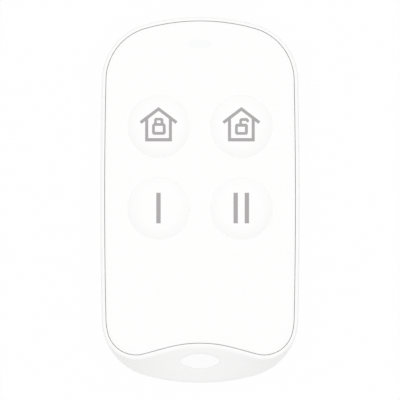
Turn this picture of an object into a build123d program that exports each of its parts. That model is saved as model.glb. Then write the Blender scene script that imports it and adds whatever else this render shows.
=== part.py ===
from build123d import *
from math import asin, atan2, copysign, cos, degrees, hypot, radians, sin, sqrt, tan
import os

# Alarm key fob: four domed keys, an indicator window and a ring hole in its tail.
# Lengths are in millimetres and angles in degrees. The fob lies on its flat back.
# +Z points out of the front, +Y towards the indicator, and the origin is under the centre.

# Case outline seen from the front: ends, corners and sides are arcs that meet smoothly
CASE_HALF_WIDTH = 18.05
CASE_HALF_LENGTH = 33.15
SIDE_RADIUS = 1000.0
END_RADIUS = 37.4
CORNER_RADIUS = 10.6

# Seam between the front cover and the housing rim, with its wave above the tail
RIM_WIDTH = 0.76
SEAM_GAP = 0.12
LOBE_RADIUS = 5.3
SHOULDER_RADIUS = 12.0
LOBE_SIDE_GAP = 0.15
TAIL_LENGTH = 5.08
WAVE_RISE = 2.13
FLANK_LENGTH = 4.449

# Heights of the case and the crowned front face
WAIST_Z = 4.2
CROWN_Z = 11.7
CROWN_RADIUS = 200.0
RIM_EDGE_BEVEL = 0.3

# Edge of the back, as the inset and the height of its steps
BACK_EDGE_STEPS = ((2.4, 0), (0.7, 0.7), (0, 2.4))

# The outside leans in from the waist to the rim, as shares of its height and its lean
RIM_LAND = 0.6
SLOPE_OVERRUN = 0.1
SLOPE_HEIGHT_SHARES = (0, 0.1, 0.22, 0.58, 1)
SLOPE_LEAN_SHARES = (0, 0.03, 0.13, 0.54, 1)

# Ring hole through the tail
RING_HOLE_LENGTH = 6.68
RING_HOLE_WIDTH = 2.53
RING_HOLE_END_RADIUS = 0.62
RING_HOLE_FROM_TAIL = 4.05
RING_HOLE_BREAK = 0.3

# Walls of the housing
BACK_WALL = 1.6
SHELF_WIDTH = 1.1
SHELF_Z = 9.0

# Front cover
COVER_INNER_Z = 10.0
SKIRT_GAP = 0.08
SKIRT_WALL = 0.9
SKIRT_DEPTH = 1.0

# Coin cell
CELL_RADIUS = 10.0
CELL_THICKNESS = 3.2
CAN_WALL = 0.25
CAN_RELIEF = 0.4
GASKET_WALL = 0.5
CAP_FLOAT = 0.15
CAP_WALL = 0.25

# Battery door: a flange outside, a cup for the cell and lugs that lock over a ledge
DOOR_Y = 3.0
DOOR_RECESS = 0.1
DOOR_FLANGE = 1.0
DOOR_RADIUS = 12.3
DOOR_GAP = 0.1
CUP_WALL = 0.8
CUP_DEPTH = 2.0
CELL_GAP = 0.2
CELL_FLOAT = 0.02
SEAL_THICKNESS = 0.4
SEAL_WIDTH = 0.9
SEAL_FLOAT = 0.02
LEDGE_THICKNESS = 0.85
LEDGE_GAP = 0.12
LUG_COUNT = 3
LUG_REACH = 0.9
LUG_ANGLE = 24.0
LUG_LIFT = 0.06
NOTCH_GAP = 0.15
NOTCH_ANGLE = 30.0
UNLOCK_ANGLE = 30.0
COLLAR_WALL = 1.5
COIN_SLOT_LENGTH = 12.0
COIN_SLOT_WIDTH = 1.8
COIN_SLOT_DEPTH = 0.6

# Circuit board
BOARD_GAP = 0.3
BOARD_Z = 5.9
BOARD_THICKNESS = 1.0
SUPPORT_WIDTH = 2.2
SUPPORT_INSET = 2.2
SUPPORT_ANGLE = 34.0

# Case screws, driven from the back into posts under the front cover
SCREW_RADIUS = 0.95
SCREW_GAP = 0.05
SCREW_HEAD_RADIUS = 1.7
SCREW_HEAD_HEIGHT = 1.2
SCREW_HEAD_Z = 0.7
SCREW_HEAD_GAP = 0.2
SCREW_PASS_GAP = 0.2
SCREW_TIP_Z = 9.3
SCREW_TIP_GAP = 0.3
SCREW_CROSS_LENGTH = 1.9
SCREW_CROSS_WIDTH = 0.4
SCREW_CROSS_DEPTH = 0.6
BOSS_RADIUS = 2.7
POST_RADIUS = 2.2

# Keys and the switches under them
KEY_X = 7.48
TOP_KEY_Y = 13.28
LOW_KEY_Y = -1.51
KEY_RADIUS = 5.6
KEY_GAP = 0.04
KEY_CROWN_RADIUS = 34.0
KEY_EDGE_STEP = 0.95
KEY_EDGE_ANGLES = (24.0, 13.0)
KEY_FLANGE_RADIUS = 6.2
KEY_FLANGE = 0.8
KEY_STOP_GAP = 0.05
KEY_POST_RADIUS = 1.6
KEY_STEM_GAP = 0.02
GUIDE_WIDTH = 0.8
GUIDE_GAP = 0.1
SWITCH_SIDE = 5.0
SWITCH_HEIGHT = 1.5
SWITCH_FLOOR = 0.5
WELL_RADIUS = 2.1
PLATE_THICKNESS = 0.15
STEM_RADIUS = 1.2
STEM_GAP = 0.05
STEM_FOOT_RADIUS = 1.6
STEM_FLOAT = 0.02
STEM_PROUD = 0.35
SNAP_RADIUS = 1.9
SNAP_HEIGHT = 0.45
SNAP_THICKNESS = 0.08
TERMINAL_LENGTH = 0.9
TERMINAL_WIDTH = 0.7
TERMINAL_THICKNESS = 0.25
TERMINAL_SPREAD_SHARE = 0.37

# Indicator: a light pipe in the cover above a lamp on the board
WINDOW_FROM_TOP = 5.0
WINDOW_LENGTH = 4.06
WINDOW_WIDTH = 1.16
WINDOW_GAP = 0.03
PIPE_FLANGE_REACH = 0.6
PIPE_FLANGE = 0.6
PIPE_FLOAT = 0.02
LAMP_LENGTH = 3.2
LAMP_WIDTH = 1.6
LAMP_HEIGHT = 0.8
LAMP_GAP = 0.3
LAMP_BASE_SHARE = 0.4
LAMP_LENS_SHARE = 0.75

# Parts soldered on the board
RADIO_SIDE = 5.0
RADIO_HEIGHT = 0.9
RADIO_Y = 3.5
RADIO_DIMPLE_RADIUS = 0.3
RADIO_DIMPLE_DEPTH = 0.08
CRYSTAL_LENGTH = 3.2
CRYSTAL_WIDTH = 2.5
CRYSTAL_HEIGHT = 0.8
CRYSTAL_Y = 9.0
CRYSTAL_CORNER = 0.4
CHIP_LENGTH = 1.0
CHIP_WIDTH = 0.5
CHIP_HEIGHT = 0.5
CHIP_PITCH = 1.4
CHIP_ROW_Y = (-2.0, -3.6, 12.2)
CHIPS_IN_ROW = 4
ANTENNA_INSET = 3.4
ANTENNA_WIDTH = 0.8
ANTENNA_THICKNESS = 0.3
ANTENNA_LIFT = 0.8
ANTENNA_BELOW_KEYS = 4.5

# Battery contacts under the board
CONTACT_THICKNESS = 0.3
CONTACT_GAP = 0.03
CLIP_BOTTOM_GAP = 0.2
CLIP_FOOT = 1.6
CLIP_ANGLE = 40.0
LEAF_WIDTH = 3.0
LEAF_FOOT = 3.0
LEAF_REACH = 8.0
LEAF_TIP = 2.0
LEAF_TIP_RISE = 0.6
LEAF_BEND = 2.0

# How far a cutting solid runs past what it cuts, and how close a picked edge lies
OVERRUN = 1.0
PICK = 0.02


def meeting_point(first, first_reach, second, second_reach):
    """Point at a reach from each of two points, left of the line from first to second."""
    across = second[0] - first[0]
    up = second[1] - first[1]
    apart = hypot(across, up)
    along = (first_reach**2 - second_reach**2 + apart**2) / (2 * apart)
    aside = sqrt(first_reach**2 - along**2)
    return (
        first[0] + (across * along - up * aside) / apart,
        first[1] + (up * along + across * aside) / apart,
    )


def direction(start, end):
    """Angle of the line from start to end."""
    return degrees(atan2(end[1] - start[1], end[0] - start[0]))


# Arc centres of the two outlines, and the angles at which their arcs meet
SIDE_CENTRE = (CASE_HALF_WIDTH - SIDE_RADIUS, 0)
END_CENTRE = (0, CASE_HALF_LENGTH - END_RADIUS)
CORNER_CENTRE = meeting_point(
    SIDE_CENTRE, SIDE_RADIUS - CORNER_RADIUS, END_CENTRE, END_RADIUS - CORNER_RADIUS
)
LOW_CORNER_CENTRE = (CORNER_CENTRE[0], -CORNER_CENTRE[1])
LOW_END_CENTRE = (END_CENTRE[0], -END_CENTRE[1])
SEAM_SIDE_RADIUS = SIDE_RADIUS - RIM_WIDTH
LOBE_Y = TAIL_LENGTH - CASE_HALF_LENGTH + LOBE_RADIUS
LOBE_X = (
    SIDE_CENTRE[0] + sqrt(SEAM_SIDE_RADIUS**2 - LOBE_Y**2) - LOBE_SIDE_GAP - LOBE_RADIUS
)
LOBE_CENTRE = (LOBE_X, LOBE_Y)
CREST_Y = LOBE_Y - LOBE_RADIUS + WAVE_RISE
CREST_RADIUS = (LOBE_X**2 - FLANK_LENGTH**2) / (2 * WAVE_RISE) - LOBE_RADIUS + WAVE_RISE / 2
CREST_CENTRE = (0, CREST_Y - CREST_RADIUS)
SHOULDER_CENTRE = meeting_point(
    SIDE_CENTRE, SEAM_SIDE_RADIUS - SHOULDER_RADIUS, LOBE_CENTRE, SHOULDER_RADIUS - LOBE_RADIUS
)
TOP_ANGLE = 90
HALF_TURN = 180
END_ANGLE = direction(END_CENTRE, CORNER_CENTRE)
SIDE_ANGLE = direction(SIDE_CENTRE, CORNER_CENTRE)
SHOULDER_ANGLE = direction(SIDE_CENTRE, SHOULDER_CENTRE)
LOBE_ANGLE = direction(SHOULDER_CENTRE, LOBE_CENTRE)
CREST_ANGLE = direction(CREST_CENTRE, LOBE_CENTRE) + degrees(
    atan2(FLANK_LENGTH, CREST_RADIUS + LOBE_RADIUS)
)

# Insets from the case outline, and heights, that several pieces share
COVER_INSET = RIM_WIDTH + SEAM_GAP
CAVITY_INSET = RIM_WIDTH + SHELF_WIDTH
SKIRT_INSET = CAVITY_INSET + SKIRT_GAP
COVER_POCKET_INSET = SKIRT_INSET + SKIRT_WALL
BOARD_INSET = CAVITY_INSET + BOARD_GAP
RING_HOLE_Y = RING_HOLE_FROM_TAIL - CASE_HALF_LENGTH
WINDOW_Y = CASE_HALF_LENGTH - WINDOW_FROM_TOP
ANTENNA_END_Y = LOW_KEY_Y - ANTENNA_BELOW_KEYS
BOARD_TOP_Z = BOARD_Z + BOARD_THICKNESS
FLANGE_TOP_Z = DOOR_RECESS + DOOR_FLANGE
LEDGE_Z = FLANGE_TOP_Z + SEAL_THICKNESS + SEAL_FLOAT
LEDGE_TOP_Z = LEDGE_Z + LEDGE_THICKNESS
CUP_INNER_RADIUS = CELL_RADIUS + CELL_GAP
CUP_OUTER_RADIUS = CUP_INNER_RADIUS + CUP_WALL
CUP_TOP_Z = FLANGE_TOP_Z + CUP_DEPTH
LUG_RADIUS = CUP_OUTER_RADIUS + LUG_REACH
CELL_Z = FLANGE_TOP_Z + CELL_FLOAT
CELL_TOP_Z = CELL_Z + CELL_THICKNESS
SWITCH_TOP_Z = BOARD_TOP_Z + SWITCH_HEIGHT
PLATE_TOP_Z = SWITCH_TOP_Z + PLATE_THICKNESS
STEM_TOP_Z = PLATE_TOP_Z + STEM_PROUD
KEY_FLANGE_TOP_Z = COVER_INNER_Z - KEY_STOP_GAP
KEY_FLANGE_Z = KEY_FLANGE_TOP_Z - KEY_FLANGE
KEY_PLACES = {
    "arm": (-KEY_X, TOP_KEY_Y),
    "disarm": (KEY_X, TOP_KEY_Y),
    "one": (-KEY_X, LOW_KEY_Y),
    "two": (KEY_X, LOW_KEY_Y),
}


def polar(centre, radius, angle):
    """Point at a radius and an angle from a centre."""
    return (
        centre[0] + radius * cos(radians(angle)),
        centre[1] + radius * sin(radians(angle)),
    )


def case_arcs(inset):
    """Right half of the case outline as centre, radius, start and end of each arc."""
    corner = CORNER_RADIUS - inset
    low_end = END_RADIUS - inset
    split_angle = -(END_ANGLE + TOP_ANGLE) / 2
    return [
        *upper_arcs(inset),
        (SIDE_CENTRE, SIDE_RADIUS - inset, SIDE_ANGLE, -SIDE_ANGLE),
        (LOW_CORNER_CENTRE, corner, -SIDE_ANGLE, LOBE_ANGLE),
        (LOW_CORNER_CENTRE, corner, LOBE_ANGLE, -END_ANGLE),
        (LOW_END_CENTRE, low_end, -END_ANGLE, split_angle),
        (LOW_END_CENTRE, low_end, split_angle, -TOP_ANGLE),
    ]


def cover_arcs(inset):
    """Right half of the outline with the wave; a straight flank joins its last two arcs."""
    from_seam = inset - RIM_WIDTH
    lobe = LOBE_RADIUS - from_seam
    return [
        *upper_arcs(inset),
        (SIDE_CENTRE, SIDE_RADIUS - inset, SIDE_ANGLE, SHOULDER_ANGLE),
        (SHOULDER_CENTRE, SHOULDER_RADIUS - from_seam, SHOULDER_ANGLE, LOBE_ANGLE),
        (LOBE_CENTRE, lobe, LOBE_ANGLE, CREST_ANGLE - HALF_TURN),
        (CREST_CENTRE, CREST_RADIUS + from_seam, CREST_ANGLE, TOP_ANGLE),
    ]


def upper_arcs(inset):
    """Right half of the end and the corner, which the case and the cover share."""
    return [
        (END_CENTRE, END_RADIUS - inset, TOP_ANGLE, END_ANGLE),
        (CORNER_CENTRE, CORNER_RADIUS - inset, END_ANGLE, SIDE_ANGLE),
    ]


def flat_arc(centre, radius, start, end):
    """Arc about a centre from the start angle to the end angle."""
    return ThreePointArc(
        polar(centre, radius, start),
        polar(centre, radius, (start + end) / 2),
        polar(centre, radius, end),
    )


def arc_curve(centre, radius, start, end):
    """Four control points of the smooth curve that follows an arc."""
    handle = radius * tan(radians(end - start) / 4) * 4 / 3
    first = polar(centre, radius, start)
    last = polar(centre, radius, end)
    return [
        first,
        polar(first, handle, start + TOP_ANGLE),
        polar(last, -handle, end + TOP_ANGLE),
        last,
    ]


def straight_curve(first, last):
    """Four control points of the straight curve between two points."""
    return [tuple((a * (3 - step) + b * step) / 3 for a, b in zip(first, last)) for step in range(4)]


def closed_wire(right):
    """Closed wire of the edges of a right half, from the top to the bottom, and its mirror."""
    left = [edge.mirror(Plane.YZ) for edge in reversed(right)]
    return Wire([*right, *left])


def cover_wire(inset):
    """Closed outline with the wave, moved in from the case outline."""
    *others, lobe, crest = [flat_arc(*arc) for arc in cover_arcs(inset)]
    return closed_wire([*others, lobe, Line(lobe @ 1, crest @ 0), crest])


def case_wire(inset):
    """Closed outline of the case, moved in by the inset."""
    return closed_wire([Bezier(*arc_curve(*arc)) for arc in case_arcs(inset)])


def leaning_wire(share):
    """Outline between the case's, at a share of 0, and the foot of the rim, at 1."""
    *others, lobe, crest = [arc_curve(*arc) for arc in cover_arcs(RIM_WIDTH - RIM_LAND)]
    top = [*others, lobe, straight_curve(lobe[-1], crest[0]), crest]
    edges = []
    for arc, inner in zip(case_arcs(0), top):
        points = [
            (x0 + (x1 - x0) * share, y0 + (y1 - y0) * share)
            for (x0, y0), (x1, y1) in zip(arc_curve(*arc), inner)
        ]
        edges.append(Bezier(*points))
    return closed_wire(edges)


def prism(wire, low, high):
    """Upright solid of a closed wire between two heights."""
    return Pos(0, 0, low) * extrude(make_face(wire), high - low, dir=(0, 0, 1))


def cover_prism(inset, low, high):
    """Upright solid of the cover's outline at an inset."""
    return prism(cover_wire(inset), low, high)


def disc(place, radius, low, high):
    """Upright round solid between two heights."""
    shape = Cylinder(radius, high - low, align=(Align.CENTER, Align.CENTER, Align.MIN))
    return Pos(place[0], place[1], low) * shape


def hoop(place, outer, inner, low, high):
    """Upright round wall between two heights."""
    return disc(place, outer, low, high) - disc(place, inner, low - OVERRUN, high + OVERRUN)


def block(place, length, width, low, high):
    """Upright box centred on a place, between two heights."""
    shape = Box(length, width, high - low, align=(Align.CENTER, Align.CENTER, Align.MIN))
    return Pos(place[0], place[1], low) * shape


def pill(place, length, width, low, high):
    """Upright solid with round ends, between two heights."""
    return Pos(place[0], place[1], low) * extrude(SlotOverall(length, width), high - low)


def wedge(place, radius, angle, width_angle, low, high):
    """Upright sector of a disc, centred on an angle."""
    face = make_face(
        Wire(
            [
                Line((0, 0), polar((0, 0), radius, -width_angle / 2)),
                ThreePointArc(
                    polar((0, 0), radius, -width_angle / 2),
                    (radius, 0),
                    polar((0, 0), radius, width_angle / 2),
                ),
                Line(polar((0, 0), radius, width_angle / 2), (0, 0)),
            ]
        )
    )
    sector = extrude(face, high - low, dir=(0, 0, 1))
    return Pos(place[0], place[1], low) * sector.rotate(Axis.Z, angle)


def crown_height(x):
    """Height of the crowned front face at a distance from its middle line."""
    return CROWN_Z - CROWN_RADIUS + sqrt(CROWN_RADIUS**2 - x**2)


def crown_body():
    """Everything under the crowned front face, which curves across the case."""
    body = Cylinder(CROWN_RADIUS, 2 * (CASE_HALF_LENGTH + OVERRUN)).rotate(Axis.X, TOP_ANGLE)
    return Pos(0, 0, CROWN_Z - CROWN_RADIUS) * body


def case_envelope(crown):
    """The closed case: a bevelled back edge, upright to the waist, then leaning in to the rim."""
    foot_levels = [Pos(0, 0, height) * case_wire(inset) for inset, height in BACK_EDGE_STEPS]
    foot = Solid.make_loft([*foot_levels, Pos(0, 0, WAIST_Z) * case_wire(0)], ruled=True)
    rise = CROWN_Z + SLOPE_OVERRUN - WAIST_Z
    upper_levels = [
        Pos(0, 0, WAIST_Z + rise * height_share) * leaning_wire(lean_share)
        for height_share, lean_share in zip(SLOPE_HEIGHT_SHARES, SLOPE_LEAN_SHARES)
    ]
    return foot + (Solid.make_loft(upper_levels) & crown)


def ring_hole_wire():
    """Long oval of the ring hole, with small arcs at its ends and large ones along it."""
    half_length = RING_HOLE_LENGTH / 2
    half_width = RING_HOLE_WIDTH / 2
    end_x = half_length - RING_HOLE_END_RADIUS
    radius = (end_x**2 + half_width**2 - RING_HOLE_END_RADIUS**2) / (
        2 * (half_width - RING_HOLE_END_RADIUS)
    )
    low_centre = (0, half_width - radius)
    join_angle = direction(low_centre, (end_x, 0))
    return closed_wire(
        [
            flat_arc(low_centre, radius, TOP_ANGLE, join_angle),
            flat_arc((end_x, 0), RING_HOLE_END_RADIUS, join_angle, -join_angle),
            flat_arc((0, radius - half_width), radius, -join_angle, -TOP_ANGLE),
        ]
    )


def ring_hole_edge(edge):
    """Whether an edge runs round the mouth of the ring hole."""
    box = edge.bounding_box()
    return (
        box.max.X < RING_HOLE_LENGTH / 2 + PICK
        and box.min.X > -RING_HOLE_LENGTH / 2 - PICK
        and abs(edge.center().Y - RING_HOLE_Y) < RING_HOLE_WIDTH / 2
        and box.size.Z < RING_HOLE_WIDTH
        and box.size.X > PICK
    )


def outer_shell(crown):
    """The case with its rim bevelled, its ring hole, and room for the cover and the works."""
    shell = case_envelope(crown)
    rim_z = crown_height(CASE_HALF_WIDTH) - PICK
    rim = [edge for edge in shell.edges() if edge.bounding_box().min.Z > rim_z]
    shell = chamfer(rim, RIM_EDGE_BEVEL)
    shell -= Pos(0, RING_HOLE_Y, 0) * prism(ring_hole_wire(), -OVERRUN, CROWN_Z + OVERRUN)
    shell = chamfer([edge for edge in shell.edges() if ring_hole_edge(edge)], RING_HOLE_BREAK)
    shell -= cover_prism(RIM_WIDTH, SHELF_Z, CROWN_Z + OVERRUN)
    return shell - cover_prism(CAVITY_INSET, BACK_WALL, SHELF_Z + OVERRUN)


def rear_housing(crown):
    """Moulded housing: back, walls, rim and tail, with the door's ledge and the bosses."""
    housing = outer_shell(crown)
    door_place = (0, DOOR_Y)
    recess_radius = DOOR_RADIUS + DOOR_GAP
    housing += disc(door_place, recess_radius + COLLAR_WALL, BACK_WALL / 2, LEDGE_TOP_Z)
    housing -= disc(door_place, recess_radius, -OVERRUN, LEDGE_Z)
    housing -= disc(door_place, CUP_OUTER_RADIUS + LEDGE_GAP, 0, LEDGE_TOP_Z + OVERRUN)
    notch_radius = LUG_RADIUS + NOTCH_GAP
    for angle in lug_angles():
        notch = wedge(door_place, notch_radius, angle, NOTCH_ANGLE, 0, LEDGE_TOP_Z + OVERRUN)
        housing -= notch.rotate(Axis((*door_place, 0), (0, 0, 1)), UNLOCK_ANGLE)
    for place in support_places():
        housing += block(place, SUPPORT_WIDTH, SUPPORT_WIDTH, BACK_WALL / 2, BOARD_Z)
    for place in screw_places():
        housing += disc(place, BOSS_RADIUS, BACK_WALL / 2, BOARD_Z)
        seat_z = SCREW_HEAD_Z + SCREW_HEAD_HEIGHT
        housing -= disc(place, SCREW_HEAD_RADIUS + SCREW_HEAD_GAP, -OVERRUN, seat_z)
        housing -= disc(place, SCREW_RADIUS + SCREW_PASS_GAP, 0, BOARD_Z + OVERRUN)
    return housing


def support_places():
    """Centres of the posts that hold up the corners of the board."""
    reach = CORNER_RADIUS - BOARD_INSET - SUPPORT_INSET
    corner = polar(CORNER_CENTRE, reach, SUPPORT_ANGLE)
    return [(side * x, y) for x, y in (corner, LOBE_CENTRE) for side in (-1, 1)]


def screw_places():
    """Centres of the case screws, midway between the battery door and what lies beyond it."""
    door_reach = DOOR_RADIUS + DOOR_GAP
    pipe_y = WINDOW_Y - WINDOW_WIDTH / 2 - PIPE_FLANGE_REACH
    crest_y = CREST_Y + CAVITY_INSET - RIM_WIDTH
    return [(0, (DOOR_Y + door_reach + pipe_y) / 2), (0, (DOOR_Y - door_reach + crest_y) / 2)]


def lug_angles():
    """Angles of the lugs round the battery door when it is locked."""
    return [TOP_ANGLE + turn * 360 / LUG_COUNT for turn in range(LUG_COUNT)]


def guide_place(place):
    """Centre of the rib that keeps a key from turning, on the side away from the middle."""
    return (place[0] + copysign(KEY_FLANGE_RADIUS, place[0]), place[1])


def front_cover(crown):
    """Crowned cover with key holes and window, a skirt inside the housing and screw posts."""
    skirt_z = SHELF_Z - SKIRT_DEPTH
    cover = cover_prism(COVER_INSET, SHELF_Z, CROWN_Z + OVERRUN) & crown
    cover += cover_prism(SKIRT_INSET, skirt_z, COVER_INNER_Z)
    cover -= cover_prism(COVER_POCKET_INSET, skirt_z - OVERRUN, COVER_INNER_Z)
    for place in screw_places():
        cover += disc(place, POST_RADIUS, BOARD_TOP_Z, COVER_INNER_Z + SCREW_TIP_GAP)
        cover -= disc(place, SCREW_RADIUS + SCREW_GAP, BOARD_Z, SCREW_TIP_Z + SCREW_TIP_GAP)
    for place in KEY_PLACES.values():
        rib_top_z = COVER_INNER_Z + KEY_STOP_GAP
        cover += block(guide_place(place), GUIDE_WIDTH, GUIDE_WIDTH, KEY_FLANGE_Z, rib_top_z)
        cover -= disc(place, KEY_RADIUS, BOARD_TOP_Z, CROWN_Z + OVERRUN)
    return cover - pill((0, WINDOW_Y), WINDOW_LENGTH, WINDOW_WIDTH, BOARD_TOP_Z, CROWN_Z + OVERRUN)


def key_cap():
    """Dome above its own foot: a shallow crown with two steeper steps at its edge."""
    step = KEY_EDGE_STEP
    inner = KEY_RADIUS - 2 * step
    outer_slope, inner_slope = [tan(radians(angle)) for angle in KEY_EDGE_ANGLES]
    middle_z = step * outer_slope
    inner_z = middle_z + step * inner_slope
    corners = [
        (0, inner_z + inner * inner_slope),
        (KEY_RADIUS - step, middle_z),
        (KEY_RADIUS + OVERRUN, -OVERRUN * outer_slope),
        (KEY_RADIUS + OVERRUN, -KEY_CROWN_RADIUS),
        (0, -KEY_CROWN_RADIUS),
    ]
    profile = make_face(Polyline(*corners, close=True))
    edge = revolve(profile.rotate(Axis.X, TOP_ANGLE), Axis.Z)
    ball_z = inner_z - sqrt(KEY_CROWN_RADIUS**2 - inner**2)
    ball = Pos(0, 0, ball_z) * Sphere(KEY_CROWN_RADIUS).rotate(Axis.X, TOP_ANGLE)
    return edge & ball


def key(place):
    """Domed key that leans with the front face, with a flange under the cover and a post."""
    lean = degrees(asin(place[0] / CROWN_RADIUS))
    foot = Location((place[0], place[1], crown_height(place[0])), (0, lean, 0))
    shape = disc(place, KEY_RADIUS - KEY_GAP, KEY_FLANGE_Z, CROWN_Z + OVERRUN) & foot * key_cap()
    shape += disc(place, KEY_FLANGE_RADIUS, KEY_FLANGE_Z, KEY_FLANGE_TOP_Z)
    shape += disc(place, KEY_POST_RADIUS, STEM_TOP_Z + KEY_STEM_GAP, KEY_FLANGE_TOP_Z)
    notch_width = GUIDE_WIDTH + 2 * GUIDE_GAP
    return shape - block(guide_place(place), notch_width, notch_width, STEM_TOP_Z, COVER_INNER_Z)


def switch_base(place):
    """Moulded body of one switch, with the well for its snap dome."""
    body = block(place, SWITCH_SIDE, SWITCH_SIDE, BOARD_TOP_Z, SWITCH_TOP_Z)
    return body - disc(place, WELL_RADIUS, BOARD_TOP_Z + SWITCH_FLOOR, SWITCH_TOP_Z + OVERRUN)


def switch_plate(place):
    """Steel plate that closes one switch, with the hole for its stem."""
    plate = block(place, SWITCH_SIDE, SWITCH_SIDE, SWITCH_TOP_Z, PLATE_TOP_Z)
    return plate - disc(place, STEM_RADIUS + STEM_GAP, BOARD_TOP_Z, PLATE_TOP_Z + OVERRUN)


def switch_stem(place):
    """Stem of one switch: a foot on the snap dome and a button through the plate."""
    foot_z = BOARD_TOP_Z + SWITCH_FLOOR + SNAP_HEIGHT + STEM_FLOAT
    foot = disc(place, STEM_FOOT_RADIUS, foot_z, SWITCH_TOP_Z - STEM_FLOAT)
    return foot + disc(place, STEM_RADIUS, foot_z, STEM_TOP_Z)


def snap_dome(place):
    """Thin sprung cup that stands on the floor of one switch and gives way under the stem."""
    floor_z = BOARD_TOP_Z + SWITCH_FLOOR
    inner_top_z = floor_z + SNAP_HEIGHT - SNAP_THICKNESS
    cup = disc(place, SNAP_RADIUS, floor_z, floor_z + SNAP_HEIGHT)
    return cup - disc(place, SNAP_RADIUS - SNAP_THICKNESS, BOARD_Z, inner_top_z)


def switch_terminals():
    """Four flat leads at the foot of each switch."""
    leads = []
    out = (SWITCH_SIDE + TERMINAL_LENGTH) / 2
    along = SWITCH_SIDE * TERMINAL_SPREAD_SHARE
    top_z = BOARD_TOP_Z + TERMINAL_THICKNESS
    for x, y in KEY_PLACES.values():
        for across, up in ((-1, -1), (-1, 1), (1, -1), (1, 1)):
            place = (x + across * out, y + up * along)
            leads.append(block(place, TERMINAL_LENGTH, TERMINAL_WIDTH, BOARD_TOP_Z, top_z))
    return Compound(leads)


def light_pipe(crown):
    """Clear pipe from above the lamp to the front face, held by its flange."""
    place = (0, WINDOW_Y)
    length = WINDOW_LENGTH - 2 * WINDOW_GAP
    width = WINDOW_WIDTH - 2 * WINDOW_GAP
    foot_z = BOARD_TOP_Z + LAMP_HEIGHT + LAMP_GAP
    flange_top = COVER_INNER_Z - PIPE_FLOAT
    pipe = pill(place, length, width, foot_z, CROWN_Z + OVERRUN) & crown
    return pipe + pill(
        place,
        WINDOW_LENGTH + 2 * PIPE_FLANGE_REACH,
        WINDOW_WIDTH + 2 * PIPE_FLANGE_REACH,
        flange_top - PIPE_FLANGE,
        flange_top,
    )


def indicator_led():
    """Lamp on the board: a flat base with a smaller lens on it."""
    place = (0, WINDOW_Y)
    base_top = BOARD_TOP_Z + LAMP_HEIGHT * LAMP_BASE_SHARE
    base = block(place, LAMP_LENGTH, LAMP_WIDTH, BOARD_TOP_Z, base_top)
    lens_length = LAMP_LENGTH * LAMP_LENS_SHARE
    return base + block(place, lens_length, LAMP_WIDTH, base_top, BOARD_TOP_Z + LAMP_HEIGHT)


def circuit_board():
    """Board that follows the cavity, with a hole for each case screw."""
    board = cover_prism(BOARD_INSET, BOARD_Z, BOARD_TOP_Z)
    for place in screw_places():
        board -= disc(place, SCREW_RADIUS + SCREW_PASS_GAP, BOARD_Z - OVERRUN, BOARD_TOP_Z + OVERRUN)
    return board


def radio_chip():
    """Square radio chip with a small dimple at its first corner."""
    top_z = BOARD_TOP_Z + RADIO_HEIGHT
    chip = block((0, RADIO_Y), RADIO_SIDE, RADIO_SIDE, BOARD_TOP_Z, top_z)
    corner = RADIO_SIDE / 2 - 2 * RADIO_DIMPLE_RADIUS
    dimple_place = (-corner, RADIO_Y + corner)
    return chip - disc(dimple_place, RADIO_DIMPLE_RADIUS, top_z - RADIO_DIMPLE_DEPTH, top_z + OVERRUN)


def crystal():
    """Metal-lidded crystal with rounded corners."""
    top_z = BOARD_TOP_Z + CRYSTAL_HEIGHT
    can = block((0, CRYSTAL_Y), CRYSTAL_LENGTH, CRYSTAL_WIDTH, BOARD_TOP_Z, top_z)
    return fillet(can.edges().filter_by(Axis.Z), CRYSTAL_CORNER)


def chip_parts():
    """Rows of small parts beside the radio chip."""
    top_z = BOARD_TOP_Z + CHIP_HEIGHT
    parts = []
    for y in CHIP_ROW_Y:
        for number in range(CHIPS_IN_ROW):
            x = (number - (CHIPS_IN_ROW - 1) / 2) * CHIP_PITCH
            parts.append(block((x, y), CHIP_WIDTH, CHIP_LENGTH, BOARD_TOP_Z, top_z))
    return Compound(parts)


def antenna():
    """Flat loop that follows the tail end of the board, on a foot at each end and one between."""
    low = BOARD_TOP_Z + ANTENNA_LIFT
    high = low + ANTENNA_THICKNESS
    inner_inset = ANTENNA_INSET + ANTENNA_WIDTH
    loop = cover_prism(ANTENNA_INSET, low, high)
    loop -= cover_prism(inner_inset, low - OVERRUN, high + OVERRUN)
    reach = CASE_HALF_LENGTH + ANTENNA_END_Y
    loop &= block((0, ANTENNA_END_Y - reach / 2), 2 * CASE_HALF_WIDTH, reach, low, high)
    middle = ANTENNA_INSET + ANTENNA_WIDTH / 2
    end_y = ANTENNA_END_Y - ANTENNA_WIDTH / 2
    end_x = SIDE_CENTRE[0] + sqrt((SIDE_RADIUS - middle) ** 2 - end_y**2)
    for place in ((-end_x, end_y), (end_x, end_y), (0, CREST_Y + middle - RIM_WIDTH)):
        loop += block(place, ANTENNA_WIDTH, ANTENNA_WIDTH, BOARD_TOP_Z, high)
    return loop


def positive_contacts():
    """Two bent strips that grip the side of the cell and are soldered under the board."""
    place = (0, DOOR_Y)
    inner = CELL_RADIUS + CONTACT_GAP
    outer = inner + CONTACT_THICKNESS
    low = CUP_TOP_Z + CLIP_BOTTOM_GAP
    ring = hoop(place, outer, inner, low, BOARD_Z)
    ring += hoop(place, outer + CLIP_FOOT, inner, BOARD_Z - CONTACT_THICKNESS, BOARD_Z)
    clips = []
    for angle in (0, 2 * TOP_ANGLE):
        clips.append(ring & wedge(place, outer + CLIP_FOOT + OVERRUN, angle, CLIP_ANGLE, low, BOARD_Z))
    return Compound([clip.solid() for clip in clips])


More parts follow.
